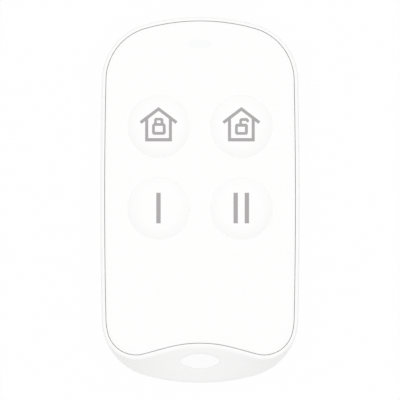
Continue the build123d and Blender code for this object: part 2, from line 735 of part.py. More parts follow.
def negative_contact():
    """Leaf soldered under the board, which bends down to the middle of the cell."""
    half = CONTACT_THICKNESS / 2
    foot_z = BOARD_Z - half
    touch_z = CELL_TOP_Z + CONTACT_GAP + half
    path = Plane.YZ * FilletPolyline(
        (DOOR_Y + LEAF_REACH + LEAF_FOOT, foot_z),
        (DOOR_Y + LEAF_REACH, foot_z),
        (DOOR_Y, touch_z),
        (DOOR_Y - LEAF_TIP, touch_z + LEAF_TIP_RISE),
        radius=LEAF_BEND,
    )
    start = Plane(origin=path @ 0, x_dir=(1, 0, 0), z_dir=path % 0)
    return sweep(start * Rectangle(LEAF_WIDTH, CONTACT_THICKNESS), path)


def cell_can():
    """Steel can of the coin cell: its bottom and its side."""
    place = (0, DOOR_Y)
    can_top_z = CELL_TOP_Z - CAN_RELIEF
    can = disc(place, CELL_RADIUS, CELL_Z, can_top_z)
    return can - disc(place, CELL_RADIUS - CAN_WALL, CELL_Z + CAN_WALL, can_top_z + OVERRUN)


def cell_gasket():
    """Ring that keeps the cell's cap from its can."""
    outer = CELL_RADIUS - CAN_WALL - CELL_FLOAT
    can_top_z = CELL_TOP_Z - CAN_RELIEF
    return hoop((0, DOOR_Y), outer, outer - GASKET_WALL, CELL_Z + CAN_WALL, can_top_z)


def cap_solid(wall):
    """Outside of the coin cell's cap, less a wall all round."""
    radius = CELL_RADIUS - CAN_WALL - GASKET_WALL - 2 * CELL_FLOAT - wall
    return disc((0, DOOR_Y), radius, CELL_Z + CAN_WALL + CAP_FLOAT, CELL_TOP_Z - wall)


def cell_cap():
    """Steel cap of the coin cell, open below."""
    return cap_solid(0) - cap_solid(CAP_WALL)


def cell_filling():
    """Disc of active material that fills the cell under its cap."""
    return cap_solid(CAP_WALL + CELL_FLOAT)


def battery_door():
    """Round door with a coin slot, a cup for the cell and three lugs over the ledge."""
    place = (0, DOOR_Y)
    door = disc(place, DOOR_RADIUS, DOOR_RECESS, FLANGE_TOP_Z)
    door += disc(place, CUP_OUTER_RADIUS, FLANGE_TOP_Z, CUP_TOP_Z)
    for angle in lug_angles():
        door += wedge(place, LUG_RADIUS, angle, LUG_ANGLE, LEDGE_TOP_Z + LUG_LIFT, CUP_TOP_Z)
    door -= disc(place, CUP_INNER_RADIUS, FLANGE_TOP_Z, CUP_TOP_Z + OVERRUN)
    slot_z = DOOR_RECESS + COIN_SLOT_DEPTH
    return door - pill(place, COIN_SLOT_LENGTH, COIN_SLOT_WIDTH, -OVERRUN, slot_z)


def door_seal():
    """Flat ring pressed between the door's flange and the housing's ledge."""
    inner = CUP_OUTER_RADIUS + SEAL_FLOAT
    seal_top = FLANGE_TOP_Z + SEAL_THICKNESS
    return hoop((0, DOOR_Y), inner + SEAL_WIDTH, inner, FLANGE_TOP_Z, seal_top)


def case_screws():
    """Screws from the back of the housing into the cover's posts, with cross recesses."""
    screws = []
    seat_z = SCREW_HEAD_Z + SCREW_HEAD_HEIGHT
    recess_z = SCREW_HEAD_Z + SCREW_CROSS_DEPTH
    for place in screw_places():
        screw = disc(place, SCREW_HEAD_RADIUS, SCREW_HEAD_Z, seat_z)
        screw += disc(place, SCREW_RADIUS, seat_z, SCREW_TIP_Z)
        screw -= block(place, SCREW_CROSS_LENGTH, SCREW_CROSS_WIDTH, 0, recess_z)
        screw -= block(place, SCREW_CROSS_WIDTH, SCREW_CROSS_LENGTH, 0, recess_z)
        screws.append(screw.solid())
    return Compound(screws)


def build():
    """Every piece of the fob by its node's name."""
    crown = crown_body()
    pieces = {
        "rear_housing": rear_housing(crown),
        "front_cover": front_cover(crown),
        "light_pipe": light_pipe(crown),
        "indicator_led": indicator_led(),
        "circuit_board": circuit_board(),
        "radio_chip": radio_chip(),
        "crystal": crystal(),
        "chip_parts": chip_parts(),
        "antenna": antenna(),
        "switch_terminals": switch_terminals(),
        "positive_contacts": positive_contacts(),
        "negative_contact": negative_contact(),
        "cell_can": cell_can(),
        "cell_gasket": cell_gasket(),
        "cell_filling": cell_filling(),
        "cell_cap": cell_cap(),
        "battery_door": battery_door(),
        "door_seal": door_seal(),
        "case_screws": case_screws(),
    }
    for name, place in KEY_PLACES.items():
        pieces[f"key_{name}"] = key(place)
        pieces[f"switch_base_{name}"] = switch_base(place)
        pieces[f"switch_plate_{name}"] = switch_plate(place)
        pieces[f"switch_stem_{name}"] = switch_stem(place)
        pieces[f"snap_dome_{name}"] = snap_dome(place)
    return pieces


os.makedirs("parts", exist_ok=True)
for node, piece in build().items():
    export_step(piece, f"parts/{node}.step")
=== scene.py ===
"""Looks of the alarm key fob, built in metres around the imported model."""

import logging
from contextlib import contextmanager
from dataclasses import dataclass
from enum import Enum
from functools import cache
from math import acos, atan2, cos, degrees, hypot, pi, radians, sin, sqrt
from typing import Any, Callable, Iterator, Sequence

import bmesh
import bpy
import numpy as np
from bpy.types import Material, Mesh, Node, NodeSocket, Object
from mathutils import Matrix, Vector
from mathutils.bvhtree import BVHTree


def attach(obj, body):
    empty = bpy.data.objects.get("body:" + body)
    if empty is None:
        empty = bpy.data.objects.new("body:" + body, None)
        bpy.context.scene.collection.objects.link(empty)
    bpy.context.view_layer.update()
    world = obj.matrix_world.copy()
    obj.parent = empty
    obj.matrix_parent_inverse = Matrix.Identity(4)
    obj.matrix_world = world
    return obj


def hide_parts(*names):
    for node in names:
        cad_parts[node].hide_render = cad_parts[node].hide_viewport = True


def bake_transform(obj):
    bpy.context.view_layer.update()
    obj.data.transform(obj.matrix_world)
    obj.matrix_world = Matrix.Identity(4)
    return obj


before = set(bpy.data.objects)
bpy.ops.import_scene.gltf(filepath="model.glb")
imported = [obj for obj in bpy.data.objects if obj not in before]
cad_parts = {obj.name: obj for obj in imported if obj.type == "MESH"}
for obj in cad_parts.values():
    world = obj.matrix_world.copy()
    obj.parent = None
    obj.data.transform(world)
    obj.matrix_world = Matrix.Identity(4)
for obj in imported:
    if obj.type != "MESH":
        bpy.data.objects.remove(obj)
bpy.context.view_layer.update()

LOG = logging.getLogger("key_fob")
MM = 0.001
TOP_ANGLE = 90.0
HALF_TURN = 180.0
FULL_TURN = 360.0
SHARP_ANGLE = 32.0
MERGE_DISTANCE = 0.0000005
GRAIN_DEPTH = 0.000004
HALVINGS = 30
FAR_OUTSIDE = 50 * MM
SIGN_REACH = 4 * MM
SIGN_SLICE = 0.45 * MM
SECTOR_POINTS = 14
Point = tuple[float, float]
Colour = tuple[float, float, float]
Rows = np.ndarray


# Node trees


class TreeKind(Enum):
    """Kinds of node group that the script builds."""

    SHADER = "ShaderNodeTree"
    GEOMETRY = "GeometryNodeTree"


class SocketKind(Enum):
    """Kinds of socket that a node group's interface has."""

    NUMBER = "NodeSocketFloat"
    COUNT = "NodeSocketInt"
    PLACE = "NodeSocketVector"
    COLOUR = "NodeSocketColor"
    SHAPE = "NodeSocketGeometry"
    PIECE = "NodeSocketObject"
    MATERIAL = "NodeSocketMaterial"

    @classmethod
    def of(cls, value: Any) -> "SocketKind":
        """Kind of socket that takes a default value; a kind stands for itself."""
        kinds = {int: cls.COUNT, float: cls.NUMBER, 3: cls.PLACE, 4: cls.COLOUR, cls: value}
        return kinds[len(value) if isinstance(value, tuple) else type(value)]


class NodeTree:
    """A node tree with short calls for its nodes, sums and links."""

    def __init__(self, tree: bpy.types.NodeTree) -> None:
        """Wraps a tree."""
        self.tree = tree

    @classmethod
    def group(
        cls, name: str, kind: TreeKind, takes: dict[str, Any], gives: dict[str, SocketKind]
    ) -> tuple["NodeTree", Any]:
        """Makes a node group with its sockets.

        Args:
            name: The group's name.
            kind: Whether it is for shaders or for geometry.
            takes: Its inputs by name, each as a default value or as a kind of socket.
            gives: Its outputs by name.

        Returns:
            The wrapped group, and its inputs by name.
        """
        made = cls(bpy.data.node_groups.new(name, kind.value))
        for side, sockets in (("INPUT", takes), ("OUTPUT", gives)):
            for label, value in sockets.items():
                kind_name = SocketKind.of(value).value
                socket = made.tree.interface.new_socket(label, in_out=side, socket_type=kind_name)
                if not isinstance(value, SocketKind):
                    socket.default_value = value
        return made, made.node("NodeGroupInput").outputs

    def node(self, kind: str, settings: dict[str, Any] | None = None, **inputs: Any) -> Node:
        """Adds a node.

        Args:
            kind: The node's type name in Blender.
            settings: Its properties by name.
            **inputs: Its inputs by name, spaces written as underscores: a value or a socket.

        Returns:
            The node.
        """
        made = self.tree.nodes.new(kind)
        for name, value in (settings or {}).items():
            setattr(made, name, value)
        for name, value in inputs.items():
            self.feed(made.inputs[name.replace("_", " ")], value)
        return made

    def out(self, kind: str, **inputs: Any) -> NodeSocket:
        """Adds a node and gives its first output."""
        return self.node(kind, **inputs).outputs[0]

    def feed(self, socket: NodeSocket, value: Any) -> None:
        """Links a socket, or sets a value, on an input.

        Args:
            socket: The input.
            value: The socket or the value.
        """
        if isinstance(value, NodeSocket):
            self.tree.links.new(value, socket)
        else:
            socket.default_value = value

    def sum(self, operation: str, *terms: Any, kind: str = "ShaderNodeMath") -> NodeSocket:
        """Adds a Math node.

        Args:
            operation: Its operation, such as ADD.
            *terms: One, two or three values or sockets.
            kind: The node's type name, which may be that for vectors.

        Returns:
            Its output.
        """
        made = self.node(kind, {"operation": operation})
        for socket, term in zip(made.inputs, terms):
            self.feed(socket, term)
        return made.outputs[0]

    def blend(self, factor: Any, first: Any, second: Any) -> NodeSocket:
        """Adds a node that mixes two colours.

        Args:
            factor: Share of the second colour.
            first: Colour at a factor of 0.
            second: Colour at a factor of 1.

        Returns:
            The mixed colour.
        """
        made = self.node("ShaderNodeMix", {"data_type": "RGBA"})
        for index, value in ((0, factor), (6, first), (7, second)):
            self.feed(made.inputs[index], value)
        return made.outputs[2]

    def at(self, x: Any = 0.0, y: Any = 0.0, z: Any = 0.0) -> NodeSocket:
        """Joins three values into a vector."""
        return self.out("ShaderNodeCombineXYZ", X=x, Y=y, Z=z)

    def axes(self, vector: NodeSocket) -> Any:
        """Splits a vector into outputs named X, Y and Z."""
        return self.node("ShaderNodeSeparateXYZ", Vector=vector).outputs

    def place(self) -> NodeSocket:
        """Object coordinates."""
        return self.node("ShaderNodeTexCoord").outputs["Object"]

    def noise(
        self, scale: Any, detail: float, vector: Any = None, twist: float = 0.0
    ) -> NodeSocket:
        """Adds a noise texture.

        Args:
            scale: Its scale.
            detail: Its detail.
            vector: What it follows, or None for Object coordinates.
            twist: Its distortion.

        Returns:
            Its value.
        """
        vector = self.place() if vector is None else vector
        settings = {"Vector": vector, "Scale": scale, "Detail": detail, "Distortion": twist}
        return self.node("ShaderNodeTexNoise", **settings).outputs["Fac"]

    def bump(self, height: NodeSocket, depth: float, strength: float = 1.0) -> NodeSocket:
        """Adds a Bump node and gives its normal."""
        return self.out("ShaderNodeBump", Height=height, Distance=depth, Strength=strength)

    def use(self, group: "NodeTree", inputs: dict[str, Any]) -> Any:
        """Places a node group in this tree.

        Args:
            group: The group.
            inputs: Values or sockets for its inputs, by name.

        Returns:
            Its outputs by name.
        """
        kind = self.tree.bl_idname.replace("NodeTree", "NodeGroup")
        made = self.node(kind, {"node_tree": group.tree})
        for name, value in inputs.items():
            self.feed(made.inputs[name], value)
        return made.outputs


# Effects that several finishes share


class SharedEffects:
    """Shader node groups, each built once and placed in the materials that use it."""

    def __init__(self) -> None:
        """Builds every group."""
        self.moulded = self._moulded()
        self.grain = self._grain()

    @staticmethod
    def _moulded() -> NodeTree:
        """Fine spark-eroded skin of a moulding: a mottled colour, a roughness and a height.

        Returns:
            The group.
        """
        tree, given = NodeTree.group(
            "moulded_skin",
            TreeKind.SHADER,
            {
                "Colour": (0.9, 0.9, 0.9, 1),
                "Shade": (0.85, 0.85, 0.84, 1),
                "Skin Size": 9000.0,
                "Cloud Size": 60.0,
                "Cloud Limit": 0.8,
                "Limit Blend": 0.1,
                "Roughness": 0.45,
                "Variation": 0.06,
            },
            {
                "Colour": SocketKind.COLOUR,
                "Roughness": SocketKind.NUMBER,
                "Height": SocketKind.NUMBER,
            },
        )
        skin = tree.noise(given["Skin Size"], 2.0)
        cloud = tree.noise(given["Cloud Size"], 3.0)
        share = tree.sum("SMOOTH_MIN", cloud, given["Cloud Limit"], given["Limit Blend"])
        colour = tree.blend(share, given["Colour"], given["Shade"])
        spread = tree.sum("MULTIPLY", tree.sum("SUBTRACT", skin, 0.5), 2.0)
        rough = tree.sum("MULTIPLY_ADD", spread, given["Variation"], given["Roughness"])
        tree.node("NodeGroupOutput", Colour=colour, Roughness=rough, Height=skin)
        return tree

    @staticmethod
    def _grain() -> NodeTree:
        """Long scratches along X, as rolled, brushed or turned metal has.

        Returns:
            The group.
        """
        tree, given = NodeTree.group(
            "rolled_grain",
            TreeKind.SHADER,
            {
                "Grain Size": 2500.0,
                "Stretch": 0.04,
                "Roughness": 0.3,
                "Variation": 0.12,
                "Tarnish Size": 350.0,
            },
            {name: SocketKind.NUMBER for name in ("Roughness", "Height", "Tarnish")},
        )
        stretch = tree.at(given["Stretch"], 1.0, 1.0)
        along = tree.sum("MULTIPLY", tree.place(), stretch, kind="ShaderNodeVectorMath")
        scratch = tree.noise(given["Grain Size"], 3.0, along)
        spread = tree.sum("SUBTRACT", scratch, 0.5)
        rough = tree.sum("MULTIPLY_ADD", spread, given["Variation"], given["Roughness"])
        tarnish = tree.noise(given["Tarnish Size"], 2.0)
        tree.node("NodeGroupOutput", Roughness=rough, Height=scratch, Tarnish=tarnish)
        return tree


EFFECTS = SharedEffects()


@dataclass(frozen=True)
class Finish:
    """A finish of two colours, of which the second shows in patches."""

    name: str
    colour: Colour
    second: Colour
    roughness: float = 0.5

    @cache
    def material(self) -> Material:
        """Builds the finish's material when it is first asked for.

        Returns:
            The material.
        """
        material = bpy.data.materials.new(self.name)
        material.use_nodes = True
        tree = NodeTree(material.node_tree)
        shader = material.node_tree.nodes["Principled BSDF"]
        for name, value in self.looks(tree).items():
            tree.feed(shader.inputs[name], value)
        return material

    def looks(self, tree: NodeTree) -> dict[str, Any]:
        """Inputs of the Principled shader, by name."""
        raise NotImplementedError

    def mixed(self, tree: NodeTree, share: NodeSocket) -> NodeSocket:
        """The two colours, mixed by a share."""
        return tree.blend(share, (*self.colour, 1), (*self.second, 1))


@dataclass(frozen=True)
class PlasticFinish(Finish):
    """Moulded plastic with a fine skin."""

    skin_size: float = 9000.0
    specular: float = 0.5
    skin_strength: float = 0.4

    def looks(self, tree: NodeTree) -> dict[str, Any]:
        """Mottled colour and eroded skin.

        Args:
            tree: The material's tree.

        Returns:
            Inputs of the Principled shader, by name.
        """
        colours = {"Colour": (*self.colour, 1), "Shade": (*self.second, 1)}
        sizes = {"Skin Size": self.skin_size, "Roughness": self.roughness}
        skin = tree.use(EFFECTS.moulded, {**colours, **sizes})
        return {
            "Base Color": skin["Colour"],
            "Roughness": skin["Roughness"],
            "Normal": tree.bump(skin["Height"], GRAIN_DEPTH, self.skin_strength),
            "Specular IOR Level": self.specular,
        }


@dataclass(frozen=True)
class MetalFinish(Finish):
    """Plated or plain metal with rolled grain and a little tarnish."""

    grain_size: float = 2500.0

    def looks(self, tree: NodeTree) -> dict[str, Any]:
        """Grain, and tarnish in patches.

        Args:
            tree: The material's tree.

        Returns:
            Inputs of the Principled shader, by name.
        """
        sizes = {"Grain Size": self.grain_size, "Roughness": self.roughness}
        grain = tree.use(EFFECTS.grain, sizes)
        return {
            "Base Color": self.mixed(tree, tree.sum("POWER", grain["Tarnish"], 2.0)),
            "Roughness": grain["Roughness"],
            "Normal": tree.bump(grain["Height"], GRAIN_DEPTH),
            "Metallic": 1.0,
        }


@dataclass(frozen=True)
class PrintFinish(Finish):
    """Pad-printed ink, a little uneven where the pad lifted."""

    speckle_scale: float = 5000.0
    patch_scale: float = 700.0
    ink_depth: float = 0.000003

    def looks(self, tree: NodeTree) -> dict[str, Any]:
        """Speckled ink that is thin in places.

        Args:
            tree: The material's tree.

        Returns:
            Inputs of the Principled shader, by name.
        """
        speckle = tree.noise(self.speckle_scale, 2.0)
        share = tree.sum("MULTIPLY", speckle, tree.noise(self.patch_scale, 1.0))
        return {
            "Base Color": self.mixed(tree, share),
            "Normal": tree.bump(speckle, self.ink_depth),
            "Roughness": self.roughness,
        }


@dataclass(frozen=True)
class ClearFinish(Finish):
    """Clear or milky plastic that lets light through, with flow marks inside."""

    transmission: float = 0.5
    flow_scale: float = 900.0
    flow_twist: float = 1.5
    flow_depth: float = 0.000005
    refraction: float = 1.49

    def looks(self, tree: NodeTree) -> dict[str, Any]:
        """Flow marks in the colour and on the surface.

        Args:
            tree: The material's tree.

        Returns:
            Inputs of the Principled shader, by name.
        """
        flow = tree.noise(self.flow_scale, 3.0, twist=self.flow_twist)
        return {
            "Base Color": self.mixed(tree, flow),
            "Normal": tree.bump(flow, self.flow_depth),
            "Roughness": self.roughness,
            "Transmission Weight": self.transmission,
            "IOR": self.refraction,
        }


@dataclass(frozen=True)
class BoardFinish(Finish):
    """Green solder resist over runs of copper track that jog at 45 degrees, with plated vias whose
    bores are painted near-black as shade.
    """

    pad: Colour = (0.8, 0.6, 0.3)
    # Painted shade: a near-black colour for the inside of each via's drilled bore, which is not
    # modelled as a hole.
    hole: Colour = (0.01, 0.02, 0.012)
    pitch: float = 0.62
    track_share: float = 0.17
    jog_every: float = 5.3
    jog_start: float = 2.1
    jog_reach: float = 1.24
    zone: Point = (7.4, 5.6)
    turned_share: float = 0.5
    poured_share: float = 0.8
    via_pitch: float = 1.86
    via_share: float = 0.62
    via_radius: float = 0.3
    via_hole: float = 0.13
    via_gloss: float = 0.08
    track_depth: float = 0.00002

    def looks(self, tree: NodeTree) -> dict[str, Any]:
        """Zones of upright tracks, of level tracks and of poured copper, with vias over all.

        Args:
            tree: The material's tree.

        Returns:
            Inputs of the Principled shader, by name.
        """
        axes = tree.axes(tree.place())
        x, y = (tree.sum("DIVIDE", axes[name], MM) for name in ("X", "Y"))
        zones = [tree.sum("DIVIDE", value, size) for value, size in zip((x, y), self.zone)]
        pick = self._chance(tree, *(tree.sum("FLOOR", zone) for zone in zones))
        turned = tree.sum("GREATER_THAN", pick, self.turned_share)
        poured = tree.sum("GREATER_THAN", pick, self.poured_share)
        upright = tree.sum("MULTIPLY", self._run(tree, x, y), tree.sum("SUBTRACT", 1.0, turned))
        across = tree.sum("MULTIPLY", self._run(tree, y, x), turned)
        track = tree.sum("MAXIMUM", tree.sum("MAXIMUM", upright, across), poured)
        via, bore = self._vias(tree, x, y)
        plated = tree.blend(via, self.mixed(tree, track), (*self.pad, 1))
        raised = tree.sum("SUBTRACT", tree.sum("MAXIMUM", track, via), bore)
        return {
            # The via bores get the painted shade colour over the plated copper.
            "Base Color": tree.blend(bore, plated, (*self.hole, 1)),
            "Normal": tree.bump(raised, self.track_depth),
            "Roughness": tree.sum("MULTIPLY_ADD", via, -self.via_gloss, self.roughness),
        }

    def _run(self, tree: NodeTree, across: Any, along: Any) -> NodeSocket:
        """Side by side tracks, all with the same jogs.

        Args:
            tree: The material's tree.
            across: The coordinate across the tracks, in millimetres.
            along: The coordinate along them.

        Returns:
            1 on a track and 0 between tracks.
        """
        swing = tree.sum("SUBTRACT", tree.sum("PINGPONG", along, self.jog_every), self.jog_start)
        jog = tree.sum("MINIMUM", tree.sum("MAXIMUM", swing, 0.0), self.jog_reach)
        step = tree.sum("FRACT", tree.sum("DIVIDE", tree.sum("ADD", across, jog), self.pitch))
        aside = tree.sum("ABSOLUTE", tree.sum("SUBTRACT", step, 0.5))
        return tree.sum("LESS_THAN", aside, self.track_share)

    def _vias(self, tree: NodeTree, x: Any, y: Any) -> list[NodeSocket]:
        """Plated vias on part of a square grid.

        Args:
            tree: The material's tree.
            x: The first coordinate, in millimetres.
            y: The second coordinate.

        Returns:
            1 on a via's pad, and 1 in its hole.
        """
        cells, aside = [], []
        for value in (x, y):
            steps = tree.sum("DIVIDE", value, self.via_pitch)
            cells.append(tree.sum("FLOOR", steps))
            offset = tree.sum("SUBTRACT", tree.sum("FRACT", steps), 0.5)
            aside.append(tree.sum("POWER", tree.sum("MULTIPLY", offset, self.via_pitch), 2.0))
        reach = tree.sum("SQRT", tree.sum("ADD", *aside))
        drilled = tree.sum("GREATER_THAN", self._chance(tree, *cells), self.via_share)
        inside = [tree.sum("LESS_THAN", reach, limit) for limit in (self.via_radius, self.via_hole)]
        return [tree.sum("MULTIPLY", share, drilled) for share in inside]

    @staticmethod
    def _chance(tree: NodeTree, first: Any, second: Any) -> NodeSocket:
        """An even random value for each cell of a grid, always the same for the same cell."""
        cell = tree.at(first, second, 0.5)
        return tree.node("ShaderNodeTexWhiteNoise", Vector=cell).outputs["Value"]


WHITE_CASE = PlasticFinish(
    "case_plastic", (0.955, 0.955, 0.95), (0.945, 0.945, 0.942), 0.5, specular=0.3
)
WHITE_COVER = PlasticFinish(
    "cover_plastic", (0.965, 0.965, 0.962), (0.957, 0.957, 0.954), 0.46, specular=0.3
)
WHITE_KEY = PlasticFinish(
    "key_plastic", (0.965, 0.965, 0.962), (0.957, 0.957, 0.954), 0.44, specular=0.3
)
GREY_INK = PrintFinish("grey_ink", (0.386, 0.37, 0.374), (0.41, 0.393, 0.398))
MILKY_WINDOW = ClearFinish("milky_window", (0.958, 0.962, 0.967), (0.943, 0.948, 0.953), 0.3, 0.04)
SCREW_STEEL = MetalFinish("screw_steel", (0.62, 0.62, 0.63), (0.45, 0.44, 0.42), 0.32)
SPRING_STEEL = MetalFinish("spring_steel", (0.75, 0.75, 0.76), (0.6, 0.6, 0.6), 0.22)
CELL_STEEL = MetalFinish("cell_nickel", (0.72, 0.71, 0.68), (0.58, 0.57, 0.54), 0.25, 900.0)
CONTACT_NICKEL = MetalFinish("contact_nickel", (0.7, 0.68, 0.62), (0.5, 0.48, 0.44), 0.3)
CHIP_CERAMIC = PlasticFinish("chip_ceramic", (0.34, 0.26, 0.19), (0.28, 0.22, 0.16), 0.5, 12000.0)

CARRIED = {
    "circuit_board": BoardFinish("board_green", (0.02, 0.12, 0.05), (0.035, 0.18, 0.075), 0.32),
    "indicator_led": ClearFinish("clear_lamp", (0.9, 0.92, 0.88), (0.8, 0.85, 0.75), 0.1, 0.7),
    "radio_chip": PlasticFinish(
        "chip_black", (0.018, 0.018, 0.02), (0.03, 0.03, 0.032), 0.6, 14000.0
    ),
    "crystal": SPRING_STEEL,
    "antenna": MetalFinish("contact_gold", (0.83, 0.62, 0.28), (0.65, 0.47, 0.22), 0.28),
    "positive_contacts": CONTACT_NICKEL,
    "negative_contact": CONTACT_NICKEL,
    "cell_can": CELL_STEEL,
    "cell_cap": CELL_STEEL,
    "cell_gasket": PlasticFinish("gasket_grey", (0.2, 0.2, 0.2), (0.26, 0.26, 0.26)),
    "cell_filling": PlasticFinish(
        "cell_paste", (0.05, 0.05, 0.05), (0.09, 0.085, 0.08), 0.85, 5000.0
    ),
    "door_seal": PlasticFinish("seal_rubber", (0.03, 0.03, 0.032), (0.05, 0.05, 0.052), 0.75),
    "switch_base": PlasticFinish("switch_black", (0.025, 0.025, 0.026), (0.035, 0.035, 0.036)),
    "switch_plate": SPRING_STEEL,
    "switch_stem": PlasticFinish("stem_grey", (0.16, 0.16, 0.17), (0.2, 0.2, 0.21), 0.45),
}


# Meshes


@contextmanager
def editing(mesh: Mesh) -> Iterator[bmesh.types.BMesh]:
    """Opens a mesh for editing and writes it back.

    Args:
        mesh: The mesh.

    Yields:
        What is edited.
    """
    work = bmesh.new()
    work.from_mesh(mesh)
    yield work
    work.to_mesh(mesh)
    work.free()


def placed(name: str, data: Any) -> Object:
    """Makes an object and links it to the scene.

    Args:
        name: Its name.
        data: Its mesh, curve, camera or lamp.

    Returns:
        The object.
    """
    piece = bpy.data.objects.new(name, data)
    bpy.context.scene.collection.objects.link(piece)
    return piece


def level(ring: Rows, height: float | Rows) -> Rows:
    """Gives rows of x and y a height each, or all the same one."""
    return np.column_stack((ring, np.broadcast_to(height, len(ring))))


def mesh_piece(name: str, points: Sequence[Any], faces: Sequence[Sequence[int]]) -> Object:
    """Makes an object of points and faces, with its faces turned outwards.

    Args:
        name: The object's name.
        points: Its vertices.
        faces: Its faces, as rows of vertex numbers.

    Returns:
        The object.
    """
    mesh = bpy.data.meshes.new(name)
    mesh.from_pydata([tuple(point) for point in points], [], faces)
    with editing(mesh) as work:
        bmesh.ops.recalc_face_normals(work, faces=work.faces)
    return placed(name, mesh)


def skin(name: str, rings: Sequence[Rows]) -> Object:
    """Makes a closed piece of rings with as many points each, one after the other.

    Args:
        name: The object's name.
        rings: Rows of x, y and z for each ring; the first and the last are closed by a face.

    Returns:
        The object.
    """
    count = len(rings[0])
    faces = [list(range(count))]
    for first in range(0, (len(rings) - 1) * count, count):
        for step in range(count):
            after = (step + 1) % count
            low, low_after = first + step, first + after
            faces.append([low, low_after, low_after + count, low + count])
    faces.append([(len(rings) - 1) * count + step for step in range(count)])
    return mesh_piece(name, np.concatenate(rings), faces)


def lathe(name: str, centre: Point, profile: Sequence[Point], count: int) -> Object:
    """Makes an upright round piece of rings, each given by its radius and its height."""
    circles = [(Arc(centre, radius, 0, FULL_TURN), z) for radius, z in profile]
    return skin(name, [level(circle.points(count), z) for circle, z in circles])


def column(name: str, centre: Point, radius: float, low: float, high: float, count: int) -> Object:
    """Makes an upright round column between two heights."""
    return lathe(name, centre, [(radius, low), (radius, high)], count)


def prism(name: str, outline: Rows, low: float, high: float) -> Object:
    """Makes an upright piece of one outline between two heights."""
    return skin(name, [level(outline, low), level(outline, high)])


def joined(pieces: Sequence[Object]) -> Object:
    """Joins pieces that don't touch into the first of them.

    Args:
        pieces: The pieces; all but the first are removed.

    Returns:
        The first piece.
    """
    with editing(pieces[0].data) as work:
        for piece in pieces[1:]:
            work.from_mesh(piece.data)
            bpy.data.objects.remove(piece)
    return pieces[0]


class Cut(Enum):
    """What a tool does to a piece."""

    AWAY = "DIFFERENCE"
    ADD = "UNION"


def carve(piece: Object, tool: Object, cut: Cut) -> None:
    """Cuts a tool out of a piece, or adds it, and removes the tool.

    Args:
        piece: The piece, whose mesh changes.
        tool: The tool.
        cut: What it does.
    """
    change = piece.modifiers.new("carve", "BOOLEAN")
    change.operation = cut.value
    change.solver = "EXACT"
    change.object = tool
    settle(piece)
    bpy.data.objects.remove(tool)


def final_mesh(piece: Object) -> Mesh:
    """Makes a new plain mesh of an object as its modifiers leave it.

    Args:
        piece: The object.

    Returns:
        The mesh.
    """
    bpy.context.view_layer.update()
    evaluated = piece.evaluated_get(bpy.context.evaluated_depsgraph_get())
    return bpy.data.meshes.new_from_object(evaluated)


def settle(piece: Object) -> None:
    """Turns a piece and its modifiers into a plain mesh.

    Args:
        piece: The piece.
    """
    mesh, old = final_mesh(piece), piece.data
    piece.modifiers.clear()
    piece.data = mesh
    mesh.name = piece.name
    bpy.data.meshes.remove(old)


def finish_mesh(piece: Object, finish: Finish | None = None) -> None:
    """Merges doubled points, shades the piece smooth and keeps its sharp edges sharp.

    Args:
        piece: The piece.
        finish: Its finish, or None to keep what it has.
    """
    with editing(piece.data) as work:
        bmesh.ops.remove_doubles(work, verts=work.verts, dist=MERGE_DISTANCE)
        bmesh.ops.recalc_face_normals(work, faces=work.faces)
    piece.data.shade_smooth()
    piece.data.set_sharp_from_angle(angle=radians(SHARP_ANGLE))
    if finish:
        piece.data.materials.clear()
        piece.data.materials.append(finish.material())


def hand_in(
    piece: Object, finish: Finish, node: str = "", body: str = "housing"
) -> Object:
    """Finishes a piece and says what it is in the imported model.

    Args:
        piece: The piece.
        finish: Its finish.
        node: The CAD node whose place it takes, or nothing where it only lies on one.
        body: The body that it moves with.

    Returns:
        The piece.
    """
    finish_mesh(piece, finish)
    if node:
        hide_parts(node)
    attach(piece, body)
    return piece


def surface_heights(piece: Object, places: Rows, side: int) -> Rows:
    """Heights at which upright lines first meet a piece.

    Args:
        piece: The piece.
        places: Rows of x and y.
        side: 1 for lines that come from above, and -1 from below.

    Returns:
        One height for each row.
    """
    work = bmesh.new()
    work.from_mesh(piece.data)
    tree = BVHTree.FromBMesh(work)
    work.free()
    start, way = side * FAR_OUTSIDE, Vector((0, 0, -side))
    return np.array([tree.ray_cast(Vector((x, y, start)), way)[0].z for x, y in places])


# Outlines


@dataclass(frozen=True)
class Arc:
    """Part of a circle, from one angle to another."""

    centre: Point
    radius: float
    start: float
    end: float

    def points(self, count: int, closed: bool = False) -> Rows:
        """Points at even steps along the arc, with its end among them if it is closed."""
        turns = np.radians(np.linspace(self.start, self.end, count, endpoint=closed))
        return np.array(self.centre) + self.radius * np.column_stack((np.cos(turns), np.sin(turns)))


def direction(start: Point, end: Point) -> float:
    """Angle of the line from one point to another, in degrees."""
    return degrees(atan2(end[1] - start[1], end[0] - start[0]))


def polar(centre: Point, reach: float, angle: float) -> Point:
    """Point at a reach and an angle in degrees from a centre."""
    return (centre[0] + reach * cos(radians(angle)), centre[1] + reach * sin(radians(angle)))


def quarter_round(radius: float, steps: int) -> list[Point]:
    """Rounding from a face into a wall, as each step's distance from the wall and the face."""
    turns = np.radians(np.linspace(TOP_ANGLE, 0, steps))
    return [(radius * (1 - cos(turn)), radius * (1 - sin(turn))) for turn in turns]


def meeting_point(first: Point, first_reach: float, second: Point, second_reach: float) -> Point:
    """Point at a reach from each of two points.

    Args:
        first: The first point.
        first_reach: How far the point is from it.
        second: The second point.
        second_reach: How far the point is from it.

    Returns:
        The point left of the line from first to second.
    """
    across, up = second[0] - first[0], second[1] - first[1]
    apart = hypot(across, up)
    along = (first_reach**2 - second_reach**2 + apart**2) / (2 * apart)
    aside = sqrt(first_reach**2 - along**2)
    x = first[0] + (across * along - up * aside) / apart
    return (x, first[1] + (up * along + across * aside) / apart)


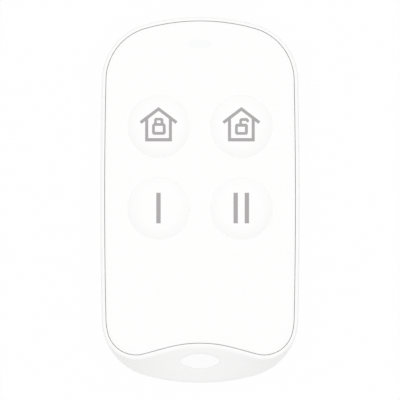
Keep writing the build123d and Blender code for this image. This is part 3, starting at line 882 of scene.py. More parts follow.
@dataclass(frozen=True)
class Outline:
    """The case's outline and the cover's, with the wave above the tail, as rings that match."""

    half_width: float = 18.05 * MM
    half_length: float = 33.15 * MM
    side_radius: float = 1000 * MM
    end_radius: float = 37.4 * MM
    corner_radius: float = 10.6 * MM
    rim_width: float = 0.76 * MM
    lobe_radius: float = 5.3 * MM
    shoulder_radius: float = 12 * MM
    lobe_side_gap: float = 0.15 * MM
    tail_length: float = 5.08 * MM
    wave_rise: float = 2.13 * MM
    crest_radius: float = 22.6 * MM
    crown_top: float = 11.7 * MM
    crown_radius: float = 200 * MM
    edge_share: float = 0.3
    steps: tuple[int, ...] = (34, 44, 30, 14, 36, 14, 22)

    @property
    def side_centre(self) -> Point:
        """Centre of the arc along the right side."""
        return (self.half_width - self.side_radius, 0)

    @property
    def end_centre(self) -> Point:
        """Centre of the arc across the top end."""
        return (0, self.half_length - self.end_radius)

    @property
    def corner_centre(self) -> Point:
        """Centre of the top right corner."""
        side, end = self.side_radius - self.corner_radius, self.end_radius - self.corner_radius
        return meeting_point(self.side_centre, side, self.end_centre, end)

    @property
    def lobe_centre(self) -> Point:
        """Centre of the cover's lower right corner.

        Returns:
            Its x and y.
        """
        y = self.tail_length - self.half_length + self.lobe_radius
        seam_side = self.side_radius - self.rim_width
        x = self.side_centre[0] + sqrt(seam_side**2 - y**2) - self.lobe_side_gap - self.lobe_radius
        return (x, y)

    @property
    def shoulder_centre(self) -> Point:
        """Centre of the arc between the side and the lobe.

        Returns:
            Its x and y.
        """
        side = self.side_radius - self.rim_width - self.shoulder_radius
        lobe = self.shoulder_radius - self.lobe_radius
        return meeting_point(self.side_centre, side, self.lobe_centre, lobe)

    @property
    def lobe_angle(self) -> float:
        """Angle at which the shoulder arc meets the lobe."""
        return direction(self.shoulder_centre, self.lobe_centre)

    def crown(self, x: Rows) -> Rows:
        """Height of the crowned front face at a distance from its middle line."""
        return self.crown_top - self.crown_radius + np.sqrt(self.crown_radius**2 - np.square(x))

    def on_crown(self, ring: Rows) -> Rows:
        """Lays rows of x and y on the crowned front face."""
        return level(ring, self.crown(ring[:, 0]))

    def rolled_edge(self, inner: Rows, outer: Rows, drop: float) -> list[Rows]:
        """Two rings that turn from the last one on the face down into the seam's wall.

        Args:
            inner: The last ring on the face.
            outer: The ring of the seam's wall.
            drop: How far down the edge reaches.

        Returns:
            The rings.
        """
        height, share = self.crown(outer[:, 0]), self.edge_share
        turning = inner * share + outer * (1 - share)
        return [level(turning, height - drop * share), level(outer, height - drop)]

    def case_ring(self, inset: float) -> Rows:
        """Points of the case's outline, moved in.

        Args:
            inset: How far it is moved in.

        Returns:
            Rows of x and y, clockwise from the top.
        """
        upper = self._upper(inset)
        end_angle, side_angle = upper[0].end, upper[1].end
        low_corner = (self.corner_centre[0], -self.corner_centre[1])
        low_end = (0, -self.end_centre[1])
        split = -(end_angle + TOP_ANGLE) / 2
        corner, end = self.corner_radius - inset, self.end_radius - inset
        arcs = [
            *upper,
            Arc(self.side_centre, self.side_radius - inset, side_angle, -side_angle),
            Arc(low_corner, corner, -side_angle, self.lobe_angle),
            Arc(low_corner, corner, self.lobe_angle, -end_angle),
            Arc(low_end, end, -end_angle, split),
            Arc(low_end, end, split, -TOP_ANGLE),
        ]
        return self._whole(arcs, [[0, low_end[1] - end]])

    def cover_ring(self, inset: float) -> Rows:
        """Points of the outline with the wave, moved in from the case's outline.

        Args:
            inset: How far it is moved in.

        Returns:
            Rows of x and y, clockwise from the top, that match those of case_ring.
        """
        upper = self._upper(inset)
        from_seam = inset - self.rim_width
        shoulder_angle = direction(self.side_centre, self.shoulder_centre)
        crest_y = self.lobe_centre[1] - self.lobe_radius + self.wave_rise
        crest_centre = (0, crest_y - self.crest_radius)
        apart = hypot(self.lobe_centre[0], self.lobe_centre[1] - crest_centre[1])
        lean = degrees(acos((self.crest_radius + self.lobe_radius) / apart))
        crest_angle = direction(crest_centre, self.lobe_centre) + lean
        crest = Arc(crest_centre, self.crest_radius + from_seam, crest_angle, TOP_ANGLE)
        lobe_reach, shoulder_reach = self.lobe_radius - from_seam, self.shoulder_radius - from_seam
        lobe = Arc(self.lobe_centre, lobe_reach, self.lobe_angle, crest_angle - HALF_TURN)
        arcs = [
            *upper,
            Arc(self.side_centre, self.side_radius - inset, upper[1].end, shoulder_angle),
            Arc(self.shoulder_centre, shoulder_reach, shoulder_angle, self.lobe_angle),
            lobe,
        ]
        flank_steps, crest_steps = self.steps[5:]
        start, crest_points = polar(lobe.centre, lobe.radius, lobe.end), crest.points(crest_steps)
        shares = np.arange(flank_steps)[:, None] / flank_steps
        flank = start + (crest_points[:1] - start) * shares
        return self._whole(arcs, flank, crest_points, [[0, crest_centre[1] + crest.radius]])

    def _upper(self, inset: float) -> list[Arc]:
        """Arcs of the end and the corner, which both outlines have.

        Args:
            inset: How far they are moved in.

        Returns:
            Both arcs.
        """
        end_angle = direction(self.end_centre, self.corner_centre)
        side_angle = direction(self.side_centre, self.corner_centre)
        return [
            Arc(self.end_centre, self.end_radius - inset, TOP_ANGLE, end_angle),
            Arc(self.corner_centre, self.corner_radius - inset, end_angle, side_angle),
        ]

    def _whole(self, arcs: Sequence[Arc], *rest: Any) -> Rows:
        """Whole outline of its right half, from the top to the bottom.

        Args:
            arcs: The first arcs of the right half.
            *rest: Points that follow them.

        Returns:
            Rows of x and y.
        """
        parts = [arc.points(count) for arc, count in zip(arcs, self.steps)]
        right = np.concatenate([*parts, *rest])
        return np.concatenate([right, right[-2:0:-1] * np.array([-1, 1])])


OUTLINE = Outline()


def pill_outline(centre: Point, length: float, width: float, count: int = 32) -> Rows:
    """Outline with round ends that lies along X, with a count of points round both ends."""
    end = Arc(((length - width) / 2, 0), width / 2, -TOP_ANGLE, TOP_ANGLE).points(count // 2, True)
    return np.concatenate([end, -end]) + np.array(centre)


def box_outline(centre: Point, length: float, width: float) -> Rows:
    """Outline of a rectangle, as rows of x and y."""
    corners = np.array([(-1, -1), (1, -1), (1, 1), (-1, 1)]) / 2
    return corners * (length, width) + np.array(centre)


def door_sector(inner: float, outer: float, angle: float, spread: float) -> Rows:
    """Outline of part of a flat ring about the battery door's centre.

    Args:
        inner: Its inner radius.
        outer: Its outer radius.
        angle: The middle of the part, in degrees.
        spread: How many degrees it covers.

    Returns:
        Rows of x and y.
    """
    ends = (angle - spread / 2, angle + spread / 2)
    arcs = [Arc(PLACES.door, radius, *ends) for radius in (outer, inner)]
    far, near = (arc.points(SECTOR_POINTS, True) for arc in arcs)
    return np.concatenate([far, near[::-1]])


@dataclass(frozen=True)
class Places:
    """Where the door, the keys, the screws and the window are, and the levels inside."""

    door: Point = (0, 3 * MM)
    key_x: float = 7.48 * MM
    top_key_y: float = 13.28 * MM
    low_key_y: float = -1.51 * MM
    guide_reach: float = 6.2 * MM
    window: Point = (0, 28.15 * MM)
    screws: tuple[Point, Point] = ((0, 21.185 * MM), (0, -17.12 * MM))
    shelf_z: float = 9 * MM
    cover_inner_z: float = 10 * MM
    board_z: float = 5.9 * MM
    board_top_z: float = 6.9 * MM
    flange_top_z: float = 1.1 * MM
    ledge_z: float = 1.52 * MM
    ledge_top_z: float = 2.37 * MM
    cup_top_z: float = 3.1 * MM
    lug_angles: tuple[float, ...] = (90.0, 210.0, 330.0)
    door_twist: float = 30.0

    def key(self, name: str) -> Point:
        """Centre of a key."""
        x = self.key_x if name in ("disarm", "two") else -self.key_x
        return (x, self.top_key_y if name in ("arm", "disarm") else self.low_key_y)

    def guide(self, name: str) -> Point:
        """Centre of the rib that keeps a key from turning."""
        x, y = self.key(name)
        return (x + (self.guide_reach if x > 0 else -self.guide_reach), y)


PLACES = Places()
KEY_NAMES = ("arm", "disarm", "one", "two")


# Case


@dataclass
class Housing:
    """The moulded back, walls, rim and sloped tail, with the ring hole."""

    back_edge: float = 2.4 * MM
    back_insets: Point = (0.4 * MM, 0.15 * MM)
    waist_z: float = 4.2 * MM
    rim_land: float = 0.6 * MM
    height_shares: tuple[float, ...] = (0, 0.085, 0.2, 0.575, 1)
    lean_shares: tuple[float, ...] = (0, 0.04, 0.145, 0.545, 1)
    slope_over: float = 0.1 * MM
    wall_steps: int = 26
    round_steps: int = 9
    lip_steps: int = 5
    mouth_steps: int = 7
    hole_steps: int = 20
    door_round: int = 160
    collar_round: int = 128
    boss_round: int = 48
    mark_round: int = 32
    crest_round: float = 0.34 * MM
    seam_round: float = 0.05 * MM
    cavity_inset: float = 1.86 * MM
    floor_z: float = 1.6 * MM
    hole_length: float = 7.1 * MM
    hole_width: float = 2.74 * MM
    hole_end_radius: float = 0.6 * MM
    hole_y: float = -29.17 * MM
    hole_lip: float = 0.34 * MM
    hole_draft: float = 0.13 * MM
    recess_radius: float = 12.4 * MM
    notch_radius: float = 12.05 * MM
    notch_spread: float = 30.0
    notch_drop: float = 0.1 * MM
    collar_radius: float = 13.9 * MM
    opening_radius: float = 11.12 * MM
    boss_radius: float = 2.7 * MM
    head_radius: float = 1.9 * MM
    head_seat_z: float = 1.9 * MM
    shank_radius: float = 1.15 * MM
    mouth_lip: float = 0.12 * MM
    post_width: float = 2.2 * MM
    post_inset: float = 4.36 * MM
    post_angle: float = 34.0
    mark_reach: float = 13.6 * MM
    mark_radius: float = 0.42 * MM
    mark_depth: float = 0.15 * MM
    island_share: float = 0.55
    mark_angles: Point = (90.0, 120.0)

    def build(self) -> Object:
        """Builds the housing.

        Returns:
            Its object.
        """
        shell = skin("housing_shell", self._rings())
        carve(shell, self._inner_walls(), Cut.ADD)
        carve(shell, self._openings(shell), Cut.AWAY)
        return hand_in(shell, WHITE_CASE, "rear_housing")

    def _wall(self, share: Rows) -> Rows:
        """Points of the outside above the waist, one for each point of the outline.

        Args:
            share: How far up each point is, from 0 at the waist to 1.

        Returns:
            Rows of x, y and z.
        """
        outer = OUTLINE.case_ring(0)
        inner = OUTLINE.cover_ring(OUTLINE.rim_width - self.rim_land)
        lean = smooth_curve(self.lean_shares, share)
        rise = smooth_curve(self.height_shares, share)
        height = self.waist_z + (OUTLINE.crown_top + self.slope_over - self.waist_z) * rise
        return level(outer + (inner - outer) * lean[:, None], height)

    def _share_where(self, test: Callable[[Rows], Rows]) -> Rows:
        """Share at which the outside passes a limit, found by halving.

        Args:
            test: Says for rows of points which of them are past the limit.

        Returns:
            One share for each point of the outline.
        """
        low = np.zeros(len(OUTLINE.case_ring(0)))
        high = np.ones_like(low)
        for _ in range(HALVINGS):
            middle = (low + high) / 2
            past = test(self._wall(middle))
            high = np.where(past, middle, high)
            low = np.where(past, low, middle)
        return (low + high) / 2

    def _rings(self) -> list[Rows]:
        """Rings of the shell, from the back over the rim to the cavity's floor.

        Returns:
            Rows of x, y and z for each ring.
        """
        rings = [level(OUTLINE.case_ring(self.back_edge + more), 0) for more in self.back_insets]
        back = quarter_round(self.back_edge, self.round_steps)
        rings += [level(OUTLINE.case_ring(inset), z) for inset, z in back]
        crest = self._wall(self._share_where(lambda at: at[:, 2] > OUTLINE.crown(at[:, 0])))
        share = self._share_where(
            lambda at: (at[:, 2] > crest[:, 2])
            | (np.linalg.norm(at - crest, axis=1) < self.crest_round)
        )
        rings += [self._wall(share * step / self.wall_steps) for step in range(self.wall_steps + 1)]
        land = OUTLINE.cover_ring(OUTLINE.rim_width - self.seam_round)
        inward = land - crest[:, :2]
        inward /= np.linalg.norm(inward, axis=1)[:, None]
        after = OUTLINE.on_crown(crest[:, :2] + inward * self.crest_round)
        before = rings[-1]
        for t in np.linspace(0, 1, self.round_steps)[1:]:
            rings.append(before * (1 - t) ** 2 + crest * 2 * t * (1 - t) + after * t**2)
        seam = OUTLINE.cover_ring(OUTLINE.rim_width)
        cavity = OUTLINE.cover_ring(self.cavity_inset)
        rings += [OUTLINE.on_crown(land), *OUTLINE.rolled_edge(land, seam, self.seam_round)]
        rings += [level(seam, PLACES.shelf_z), level(cavity, PLACES.shelf_z)]
        return [*rings, level(cavity, self.floor_z)]

    def _inner_walls(self) -> Object:
        """Collar round the door, screw bosses and board posts.

        Returns:
            One tool.
        """
        low, high = self.floor_z / 2, PLACES.board_z
        collar = (self.collar_radius, low, PLACES.ledge_top_z, self.collar_round)
        boss = (self.boss_radius, low, high, self.boss_round)
        tools = [column("collar", PLACES.door, *collar)]
        tools += [column("boss", place, *boss) for place in PLACES.screws]
        reach = OUTLINE.corner_radius - self.post_inset
        corner = polar(OUTLINE.corner_centre, reach, self.post_angle)
        for x, y in (corner, OUTLINE.lobe_centre):
            for side in (-1, 1):
                outline = box_outline((side * x, y), self.post_width, self.post_width)
                tools.append(prism("post", outline, low, high))
        return joined(tools)

    def _openings(self, shell: Object) -> Object:
        """Door recess and opening, screw holes, the ring hole and the sunk marks.

        Args:
            shell: The housing so far.

        Returns:
            One tool.
        """
        recess = (self.recess_radius, PLACES.ledge_z)
        passage = (self.opening_radius, PLACES.ledge_top_z)
        door = self._stepped_hole(PLACES.door, recess, passage, self.door_round)
        near, low, high = self.opening_radius - MM, recess[1] - self.notch_drop, passage[1] + MM
        for angle in PLACES.lug_angles:
            way = angle + PLACES.door_twist
            notch = door_sector(near, self.notch_radius, way, self.notch_spread)
            carve(door, prism("notch", notch, low, high), Cut.ADD)
        bore = ((self.head_radius, self.head_seat_z), (self.shank_radius, PLACES.board_z))
        screws = [self._stepped_hole(place, *bore, self.boss_round) for place in PLACES.screws]
        return joined([door, *screws, self._ring_hole(shell), *self._door_marks()])

    def _stepped_hole(self, centre: Point, wide: Point, narrow: Point, count: int) -> Object:
        """Tool for a round hole from the back with a soft mouth and a step.

        Args:
            centre: Its centre.
            wide: Its radius at the back, and the height of the step.
            narrow: Its radius above the step, and the height that it passes.
            count: Points round it.

        Returns:
            The tool.
        """
        profile = [(wide[0] + self.mouth_lip, -MM)]
        lip = quarter_round(self.mouth_lip, self.lip_steps)
        profile += [(wide[0] + grow, z) for grow, z in lip]
        profile += [wide, (narrow[0], wide[1]), (narrow[0], narrow[1] + MM)]
        return lathe("stepped_hole", centre, profile, count)

    def _door_marks(self) -> list[Object]:
        """Sunk dot where the door is locked and sunk ring where it is free.

        Returns:
            Their tools.
        """
        places = [polar(PLACES.door, self.mark_reach, angle) for angle in self.mark_angles]
        mark = (self.mark_radius, -MM, self.mark_depth, self.mark_round)
        dot, ring = (column("mark", place, *mark) for place in places)
        inner = self.mark_radius * self.island_share
        island = column("island", places[1], inner, -2 * MM, MM, self.mark_round)
        carve(ring, island, Cut.AWAY)
        return [dot, ring]

    def _ring_hole_ring(self, grow: float) -> Rows:
        """Outline of the ring hole: small arcs at its ends and large ones along it.

        Args:
            grow: How far it is moved out.

        Returns:
            Rows of x and y.
        """
        half_width = self.hole_width / 2 + grow
        end_radius = self.hole_end_radius + grow
        end_x = self.hole_length / 2 + grow - end_radius
        radius = (end_x**2 + half_width**2 - end_radius**2) / (2 * (half_width - end_radius))
        low_centre = (0.0, half_width - radius)
        join = direction(low_centre, (end_x, 0))
        arcs = (
            Arc(low_centre, radius, TOP_ANGLE, join),
            Arc((end_x, 0), end_radius, join, -join),
            Arc((0, -low_centre[1]), radius, -join, -TOP_ANGLE),
        )
        right = np.concatenate([*(arc.points(self.hole_steps) for arc in arcs), [[0, -half_width]]])
        left = right[-2:0:-1] * np.array([-1, 1])
        return np.concatenate([right, left]) + np.array((0, self.hole_y))

    def _ring_hole(self, shell: Object) -> Object:
        """Tool for the ring hole, which widens softly where it meets the slope and the back.

        Args:
            shell: The housing so far.

        Returns:
            The tool.
        """
        rings: list[Rows] = []
        for side, draft in ((-1, self.hole_draft), (1, 0.0)):
            mouth = []
            for grow, depth in quarter_round(self.hole_lip, self.mouth_steps):
                ring = self._ring_hole_ring(draft + grow)
                mouth.append(level(ring, surface_heights(shell, ring, side) - side * depth))
            mouth.insert(0, mouth[0] + np.array((0, 0, side * MM)))
            rings += mouth[::-side]
        return skin("ring_hole", rings)


def smooth_curve(values: Sequence[float], at: Rows) -> Rows:
    """Smooth curve through values at even knots from 0 to 1, which doesn't swing past them.

    Args:
        values: The values, which rise.
        at: Where the curve is wanted.

    Returns:
        The curve's values.
    """
    given = np.array(values, float)
    step = 1 / (len(given) - 1)
    rise = np.diff(given) / step
    slope = np.zeros(len(given))
    slope[1:-1] = 2 * rise[1:] * rise[:-1] / (rise[1:] + rise[:-1])
    slope[0], slope[-1] = rise[0] / 2, rise[-1]
    part = np.clip((at / step).astype(int), 0, len(given) - 2)
    t = at / step - part
    ends = given[part] * (2 * t**3 - 3 * t**2 + 1) + given[part + 1] * (3 * t**2 - 2 * t**3)
    return ends + step * (slope[part] * (t**3 - 2 * t**2 + t) + slope[part + 1] * (t**3 - t**2))


@dataclass
class Cover:
    """The crowned front panel with its key holes, its window and its screw posts."""

    middle: Point = (0, 2 * MM)
    inset: float = 0.845 * MM
    skirt_inset: float = 1.94 * MM
    pocket_inset: float = 2.84 * MM
    skirt_z: float = 8 * MM
    edge_round: float = 0.05 * MM
    grid_steps: int = 34
    post_round: int = 40
    key_round: int = 144
    window_round: int = 48
    screw_round: int = 32
    key_hole: float = 5.6 * MM
    window_length: float = 4.06 * MM
    window_width: float = 1.16 * MM
    post_radius: float = 2.2 * MM
    post_overlap: float = 0.3 * MM
    screw_radius: float = 1.0 * MM
    screw_end_z: float = 9.6 * MM
    rib_width: float = 0.8 * MM
    rib_z: float = 9.15 * MM

    def build(self) -> Object:
        """Builds the cover.

        Returns:
            The cover.
        """
        cover = skin("cover_panel", self._rings())
        carve(cover, self._posts(), Cut.ADD)
        carve(cover, self._openings(), Cut.AWAY)
        return hand_in(cover, WHITE_COVER, "front_cover")

    def _rings(self) -> list[Rows]:
        """Rings from the middle of the panel out to its edge, down, and in under it.

        Returns:
            Rows of x, y and z for each ring.
        """
        edge = OUTLINE.cover_ring(self.inset + self.edge_round)
        insets = (self.inset, self.skirt_inset, self.pocket_inset)
        outer, skirt, pocket = (OUTLINE.cover_ring(inset) for inset in insets)
        middle = np.array(self.middle)
        shares = np.arange(1, self.grid_steps + 1) / self.grid_steps
        rings = [OUTLINE.on_crown(middle + (edge - middle) * share) for share in shares]
        rings += OUTLINE.rolled_edge(edge, outer, self.edge_round)
        rings += [level(outer, PLACES.shelf_z), level(skirt, PLACES.shelf_z)]
        rings += [level(skirt, self.skirt_z), level(pocket, self.skirt_z)]
        return [*rings, level(pocket, PLACES.cover_inner_z)]

    def _posts(self) -> Object:
        """Screw posts and key ribs under the panel.

        Returns:
            One tool.
        """
        low, high = PLACES.board_top_z, PLACES.cover_inner_z + self.post_overlap
        post = (self.post_radius, low, high, self.post_round)
        tools = [column("post", place, *post) for place in PLACES.screws]
        for name in KEY_NAMES:
            outline = box_outline(PLACES.guide(name), self.rib_width, self.rib_width)
            tools.append(prism("rib", outline, self.rib_z, high))
        return joined(tools)

    def _openings(self) -> Object:
        """Key holes, the window and the screw holes.

        Returns:
            One tool.
        """
        low, top = PLACES.board_top_z - MM, OUTLINE.crown_top + MM
        key = (self.key_hole, low, top, self.key_round)
        window = (self.window_length, self.window_width, self.window_round)
        screw = (self.screw_radius, low, self.screw_end_z, self.screw_round)
        tools = [column("key_hole", PLACES.key(name), *key) for name in KEY_NAMES]
        tools.append(prism("window", pill_outline(PLACES.window, *window), low, top))
        tools += [column("screw_hole", place, *screw) for place in PLACES.screws]
        return joined(tools)


# Keys, whose domes and signs follow one rule

DOME_INPUTS = {
    "Centre": (0.0, 0.0, 0.0),
    "Rise": 0.001,
    "Dome Radius": 0.034,
    "Edge Start": 0.0037,
    "Edge Bend": 100.0,
    "Crown Radius": 0.2,
}
BAR_POINTS = {"Vertices_X": 4, "Vertices_Y": 26, "Vertices_Z": 2}


class Rules:
    """Geometry node groups that lay points on the dome of a key, and repeat what repeats."""

    def __init__(self) -> None:
        """Builds the groups."""
        self.height = self._height()
        self.dome = self._laid("domed_key", True)
        self.drape = self._laid("draped_sign", False)
        self.bars = self._bars()
        self.copies = self._copies()

    @staticmethod
    def _group(name: str, takes: dict[str, Any]) -> tuple[NodeTree, Any]:
        """Makes a geometry group that takes a material as well, and gives a shape."""
        takes = {**takes, "Material": SocketKind.MATERIAL}
        return NodeTree.group(name, TreeKind.GEOMETRY, takes, {"Shape": SocketKind.SHAPE})

    @staticmethod
    def _ended(tree: NodeTree, shape: NodeSocket, material: NodeSocket) -> NodeTree:
        """Ends a group in Realize Instances and Set Material.

        Args:
            tree: The group.
            shape: What it made.
            material: Its material.

        Returns:
            The group.
        """
        whole = tree.out("GeometryNodeRealizeInstances", Geometry=shape)
        dressed = tree.out("GeometryNodeSetMaterial", Geometry=whole, Material=material)
        tree.node("NodeGroupOutput", Shape=dressed)
        return tree

    @staticmethod
    def _height() -> NodeTree:
        """Height of the dome over a point: the crowned panel, and the dome's rise on it.

        Returns:
            The group.
        """
        gives = {"Height": SocketKind.NUMBER}
        tree, given = NodeTree.group("dome_height", TreeKind.GEOMETRY, DOME_INPUTS, gives)
        here = tree.axes(tree.out("GeometryNodeInputPosition"))
        centre = tree.axes(given["Centre"])
        aside = [tree.sum("SUBTRACT", here[name], centre[name]) for name in ("X", "Y")]
        square = tree.sum("ADD", *(tree.sum("POWER", value, 2.0) for value in aside))
        dome_fall = tree.sum("DIVIDE", square, tree.sum("MULTIPLY", given["Dome Radius"], 2.0))
        over = tree.sum("SUBTRACT", tree.sum("SQRT", square), given["Edge Start"])
        past = tree.sum("POWER", tree.sum("MAXIMUM", over, 0.0), 2.0)
        fall = tree.sum("ADD", dome_fall, tree.sum("MULTIPLY", past, given["Edge Bend"]))
        radius = given["Crown Radius"]
        squares = [tree.sum("POWER", value, 2.0) for value in (radius, here["X"])]
        chord = tree.sum("SQRT", tree.sum("SUBTRACT", *squares))
        crown = tree.sum("SUBTRACT", centre["Z"], tree.sum("SUBTRACT", radius, chord))
        height = tree.sum("ADD", crown, tree.sum("SUBTRACT", given["Rise"], fall))
        tree.node("NodeGroupOutput", Height=height)
        return tree

    def _laid(self, name: str, top_only: bool) -> NodeTree:
        """Lays a key's top on the dome, or a flat sign with the thickness of its ink.

        Args:
            name: The group's name.
            top_only: Whether only the points that are marked as the top move.

        Returns:
            The group.
        """
        takes = {"Shape": SocketKind.SHAPE, **DOME_INPUTS, "Thickness": 0.0}
        tree, given = self._group(name, takes)
        height = tree.use(self.height, {label: given[label] for label in DOME_INPUTS})[0]
        here = tree.axes(tree.out("GeometryNodeInputPosition"))
        z = tree.sum("ADD", height, tree.sum("MULTIPLY", here["Z"], given["Thickness"]))
        move = {"Geometry": given["Shape"], "Position": tree.at(here["X"], here["Y"], z)}
        if top_only:
            top = tree.node("GeometryNodeInputNamedAttribute", {"data_type": "BOOLEAN"}, Name="top")
            move["Selection"] = top.outputs["Attribute"]
        return self._ended(tree, tree.out("GeometryNodeSetPosition", **move), given["Material"])

    def _bars(self) -> NodeTree:
        """A row of upright bars side by side, each one unit thick, for the numbered keys.

        Returns:
            The group.
        """
        sizes = {"Count": 1, "Pitch": 0.002, "Width": 0.0008, "Height": 0.0055}
        takes = {"Base": SocketKind.SHAPE, **sizes, "Centre": (0.0, 0.0, 0.0)}
        tree, given = self._group("sign_bars", takes)
        size = tree.at(given["Width"], given["Height"], 1.0)
        bar = tree.out("GeometryNodeMeshCube", Size=size, **BAR_POINTS)
        last = tree.sum("SUBTRACT", given["Count"], 1.0)
        shift = tree.sum("MULTIPLY", tree.sum("MULTIPLY", last, given["Pitch"]), -0.5)
        start = tree.sum("ADD", tree.at(shift), given["Centre"], kind="ShaderNodeVectorMath")
        steps = {"Count": given["Count"], "Offset": tree.at(given["Pitch"])}
        row = tree.out("GeometryNodeMeshLine", Start_Location=start, **steps)
        copies = tree.out("GeometryNodeInstanceOnPoints", Points=row, Instance=bar)
        return self._ended(tree, copies, given["Material"])

    def _copies(self) -> NodeTree:
        """Copies of one part at the points of a mesh, each turned by the point's own angle.

        Returns:
            The group.
        """
        takes = {"Points": SocketKind.SHAPE, "Part": SocketKind.PIECE}
        tree, given = self._group("part_at_points", takes)
        part = tree.node("GeometryNodeObjectInfo", Object=given["Part"]).outputs["Geometry"]
        turn = tree.node("GeometryNodeInputNamedAttribute", {"data_type": "FLOAT"}, Name="turn")
        copy = {"Instance": part, "Rotation": tree.at(z=turn.outputs["Attribute"])}
        copies = tree.out("GeometryNodeInstanceOnPoints", Points=given["Points"], **copy)
        return self._ended(tree, copies, given["Material"])


RULES = Rules()


def run_tree(piece: Object, tree: NodeTree, finish: Finish, values: dict[str, Any]) -> None:
    """Runs a geometry node group on a piece and keeps the result as a plain mesh.

    Args:
        piece: The piece.
        tree: The group.
        finish: The piece's finish.
        values: The group's inputs by name.
    """
    values = {**values, "Material": finish.material()}
    change = piece.modifiers.new("rule", "NODES")
    change.node_group = tree.tree
    for item in tree.tree.interface.items_tree:
        if item.in_out == "INPUT" and item.name in values:
            change[item.identifier] = values[item.name]
    settle(piece)


@dataclass
class Key:
    """One domed key with its flange, its post and its sign."""

    name: str
    rise: float = 0.836 * MM
    dome_radius: float = 34 * MM
    edge_start: float = 3.7 * MM
    edge_bend: float = 114.0
    radius: float = 5.597 * MM
    rings: int = 30
    ring_crowding: float = 1.3
    around: int = 144
    flange_radius: float = 6.2 * MM
    flange_top_z: float = 9.95 * MM
    flange_z: float = 9.15 * MM
    post_radius: float = 1.6 * MM
    post_z: float = 8.92 * MM
    notch_width: float = 1.0 * MM
    notch_over: float = 0.05 * MM
    ink: float = 0.012 * MM
    bar_width: float = 0.78 * MM
    bar_height: float = 5.53 * MM
    bar_pitch: float = 2.024 * MM
    bar_shift: Point = (-0.03 * MM, 0.04 * MM)
    house_shift: Point = (-0.015 * MM, 0.04 * MM)

    def build(self) -> Object:
        """Builds the key and its sign.

        Returns:
            The key's object.
        """
        centre = PLACES.key(self.name)
        left = [1 - step / self.rings for step in range(1, self.rings + 1)]
        radii = [self.radius * (1 - share**self.ring_crowding) for share in left]
        profile = [(radius, OUTLINE.crown_top) for radius in radii]
        profile += [(self.radius, self.flange_top_z), (self.flange_radius, self.flange_top_z)]
        profile += [(self.flange_radius, self.flange_z), (self.post_radius, self.flange_z)]
        profile.append((self.post_radius, self.post_z))
        key = lathe(f"key_cap_{self.name}", centre, profile, self.around)
        heights = [point.co.z for point in key.data.vertices]
        top = key.data.attributes.new("top", "BOOLEAN", "POINT")
        top.data.foreach_set("value", [z > OUTLINE.crown_top - MERGE_DISTANCE for z in heights])
        run_tree(key, RULES.dome, WHITE_KEY, self._dome(centre))
        notch = box_outline(PLACES.guide(self.name), self.notch_width, self.notch_width)
        low, high = self.post_z - MM, self.flange_top_z + self.notch_over
        carve(key, prism("notch", notch, low, high), Cut.AWAY)
        body = f"{self.name}_key"
        hand_in(key, WHITE_KEY, f"key_{self.name}", body)
        hand_in(self._sign(centre), GREY_INK, body=body)
        return key

    def _dome(self, centre: Point) -> dict[str, Any]:
        """Inputs of the dome's node groups, by name."""
        sizes = (self.rise, self.dome_radius, self.edge_start, self.edge_bend, OUTLINE.crown_radius)
        return dict(zip(DOME_INPUTS, ((*centre, OUTLINE.crown_top), *sizes)))

    def _sign(self, centre: Point) -> Object:
        """The key's printed sign, laid on its dome.

        Args:
            centre: The key's centre.

        Returns:
            The sign's object.
        """
        name = f"sign_{self.name}"
        if self.name in ("one", "two"):
            sign = mesh_piece(name, [(0, 0, 0)], [])
            place = (centre[0] + self.bar_shift[0], centre[1] + self.bar_shift[1], 0.0)
            count = 1 if self.name == "one" else 2
            bars = {"Count": count, "Pitch": self.bar_pitch, "Centre": place}
            sizes = {"Width": self.bar_width, "Height": self.bar_height}
            run_tree(sign, RULES.bars, GREY_INK, {**bars, **sizes})
        else:
            lock = closed_lock_loops() if self.name == "arm" else open_lock_loops()
            place = (centre[0] + self.house_shift[0], centre[1] + self.house_shift[1])
            sign = flat_sign(name, house_loops() + lock, place)
        run_tree(sign, RULES.drape, GREY_INK, {**self._dome(centre), "Thickness": self.ink})
        return sign


# Outlines of the signs, about their key's centre, in millimetres


def arc_points(centre: Point, radius: float, start: float, end: float) -> list[Point]:
    """Seven points along an arc, its ends among them."""
    return [tuple(point) for point in Arc(centre, radius, start, end).points(7, True)]


def rounded_box(box: tuple[float, float, float, float], radius: float) -> list[Point]:
    """Outline of a rectangle with round corners.

    Args:
        box: Lowest x and y and highest x and y.
        radius: Radius of the corners.

    Returns:
        The outline's points.
    """
    left, low, right, high = box[0] + radius, box[1] + radius, box[2] - radius, box[3] - radius
    corners = ((right, high), (left, high), (left, low), (right, low))
    outline: list[Point] = []
    for number, corner in enumerate(corners):
        outline += arc_points(corner, radius, number * 90, number * 90 + 90)
    return outline


def house_loops() -> list[list[Point]]:
    """Outer and inner outline of the house.

    Returns:
        Both outlines.
    """
    apex, eave_x, eave_y, wall, low = 3.461, 3.425, 0.867, 2.413, -2.747
    slope = (apex - eave_y) / eave_x
    pitch = atan2(apex - eave_y, eave_x)
    board, side_width, floor_width = 0.56, 0.545, 0.59
    inner_x, inner_low = wall - side_width, low + floor_width
    under = apex - board / cos(pitch)
    half = [(0, apex), (eave_x, eave_y), (eave_x - board * sin(pitch), eave_y - board * cos(pitch))]
    half += [(wall, under - slope * wall), (wall, low)]
    hole = [(0, under), (inner_x, under - slope * inner_x), (inner_x, inner_low)]
    return [side + [(-x, y) for x, y in side[:0:-1]] for side in (half, hole)]


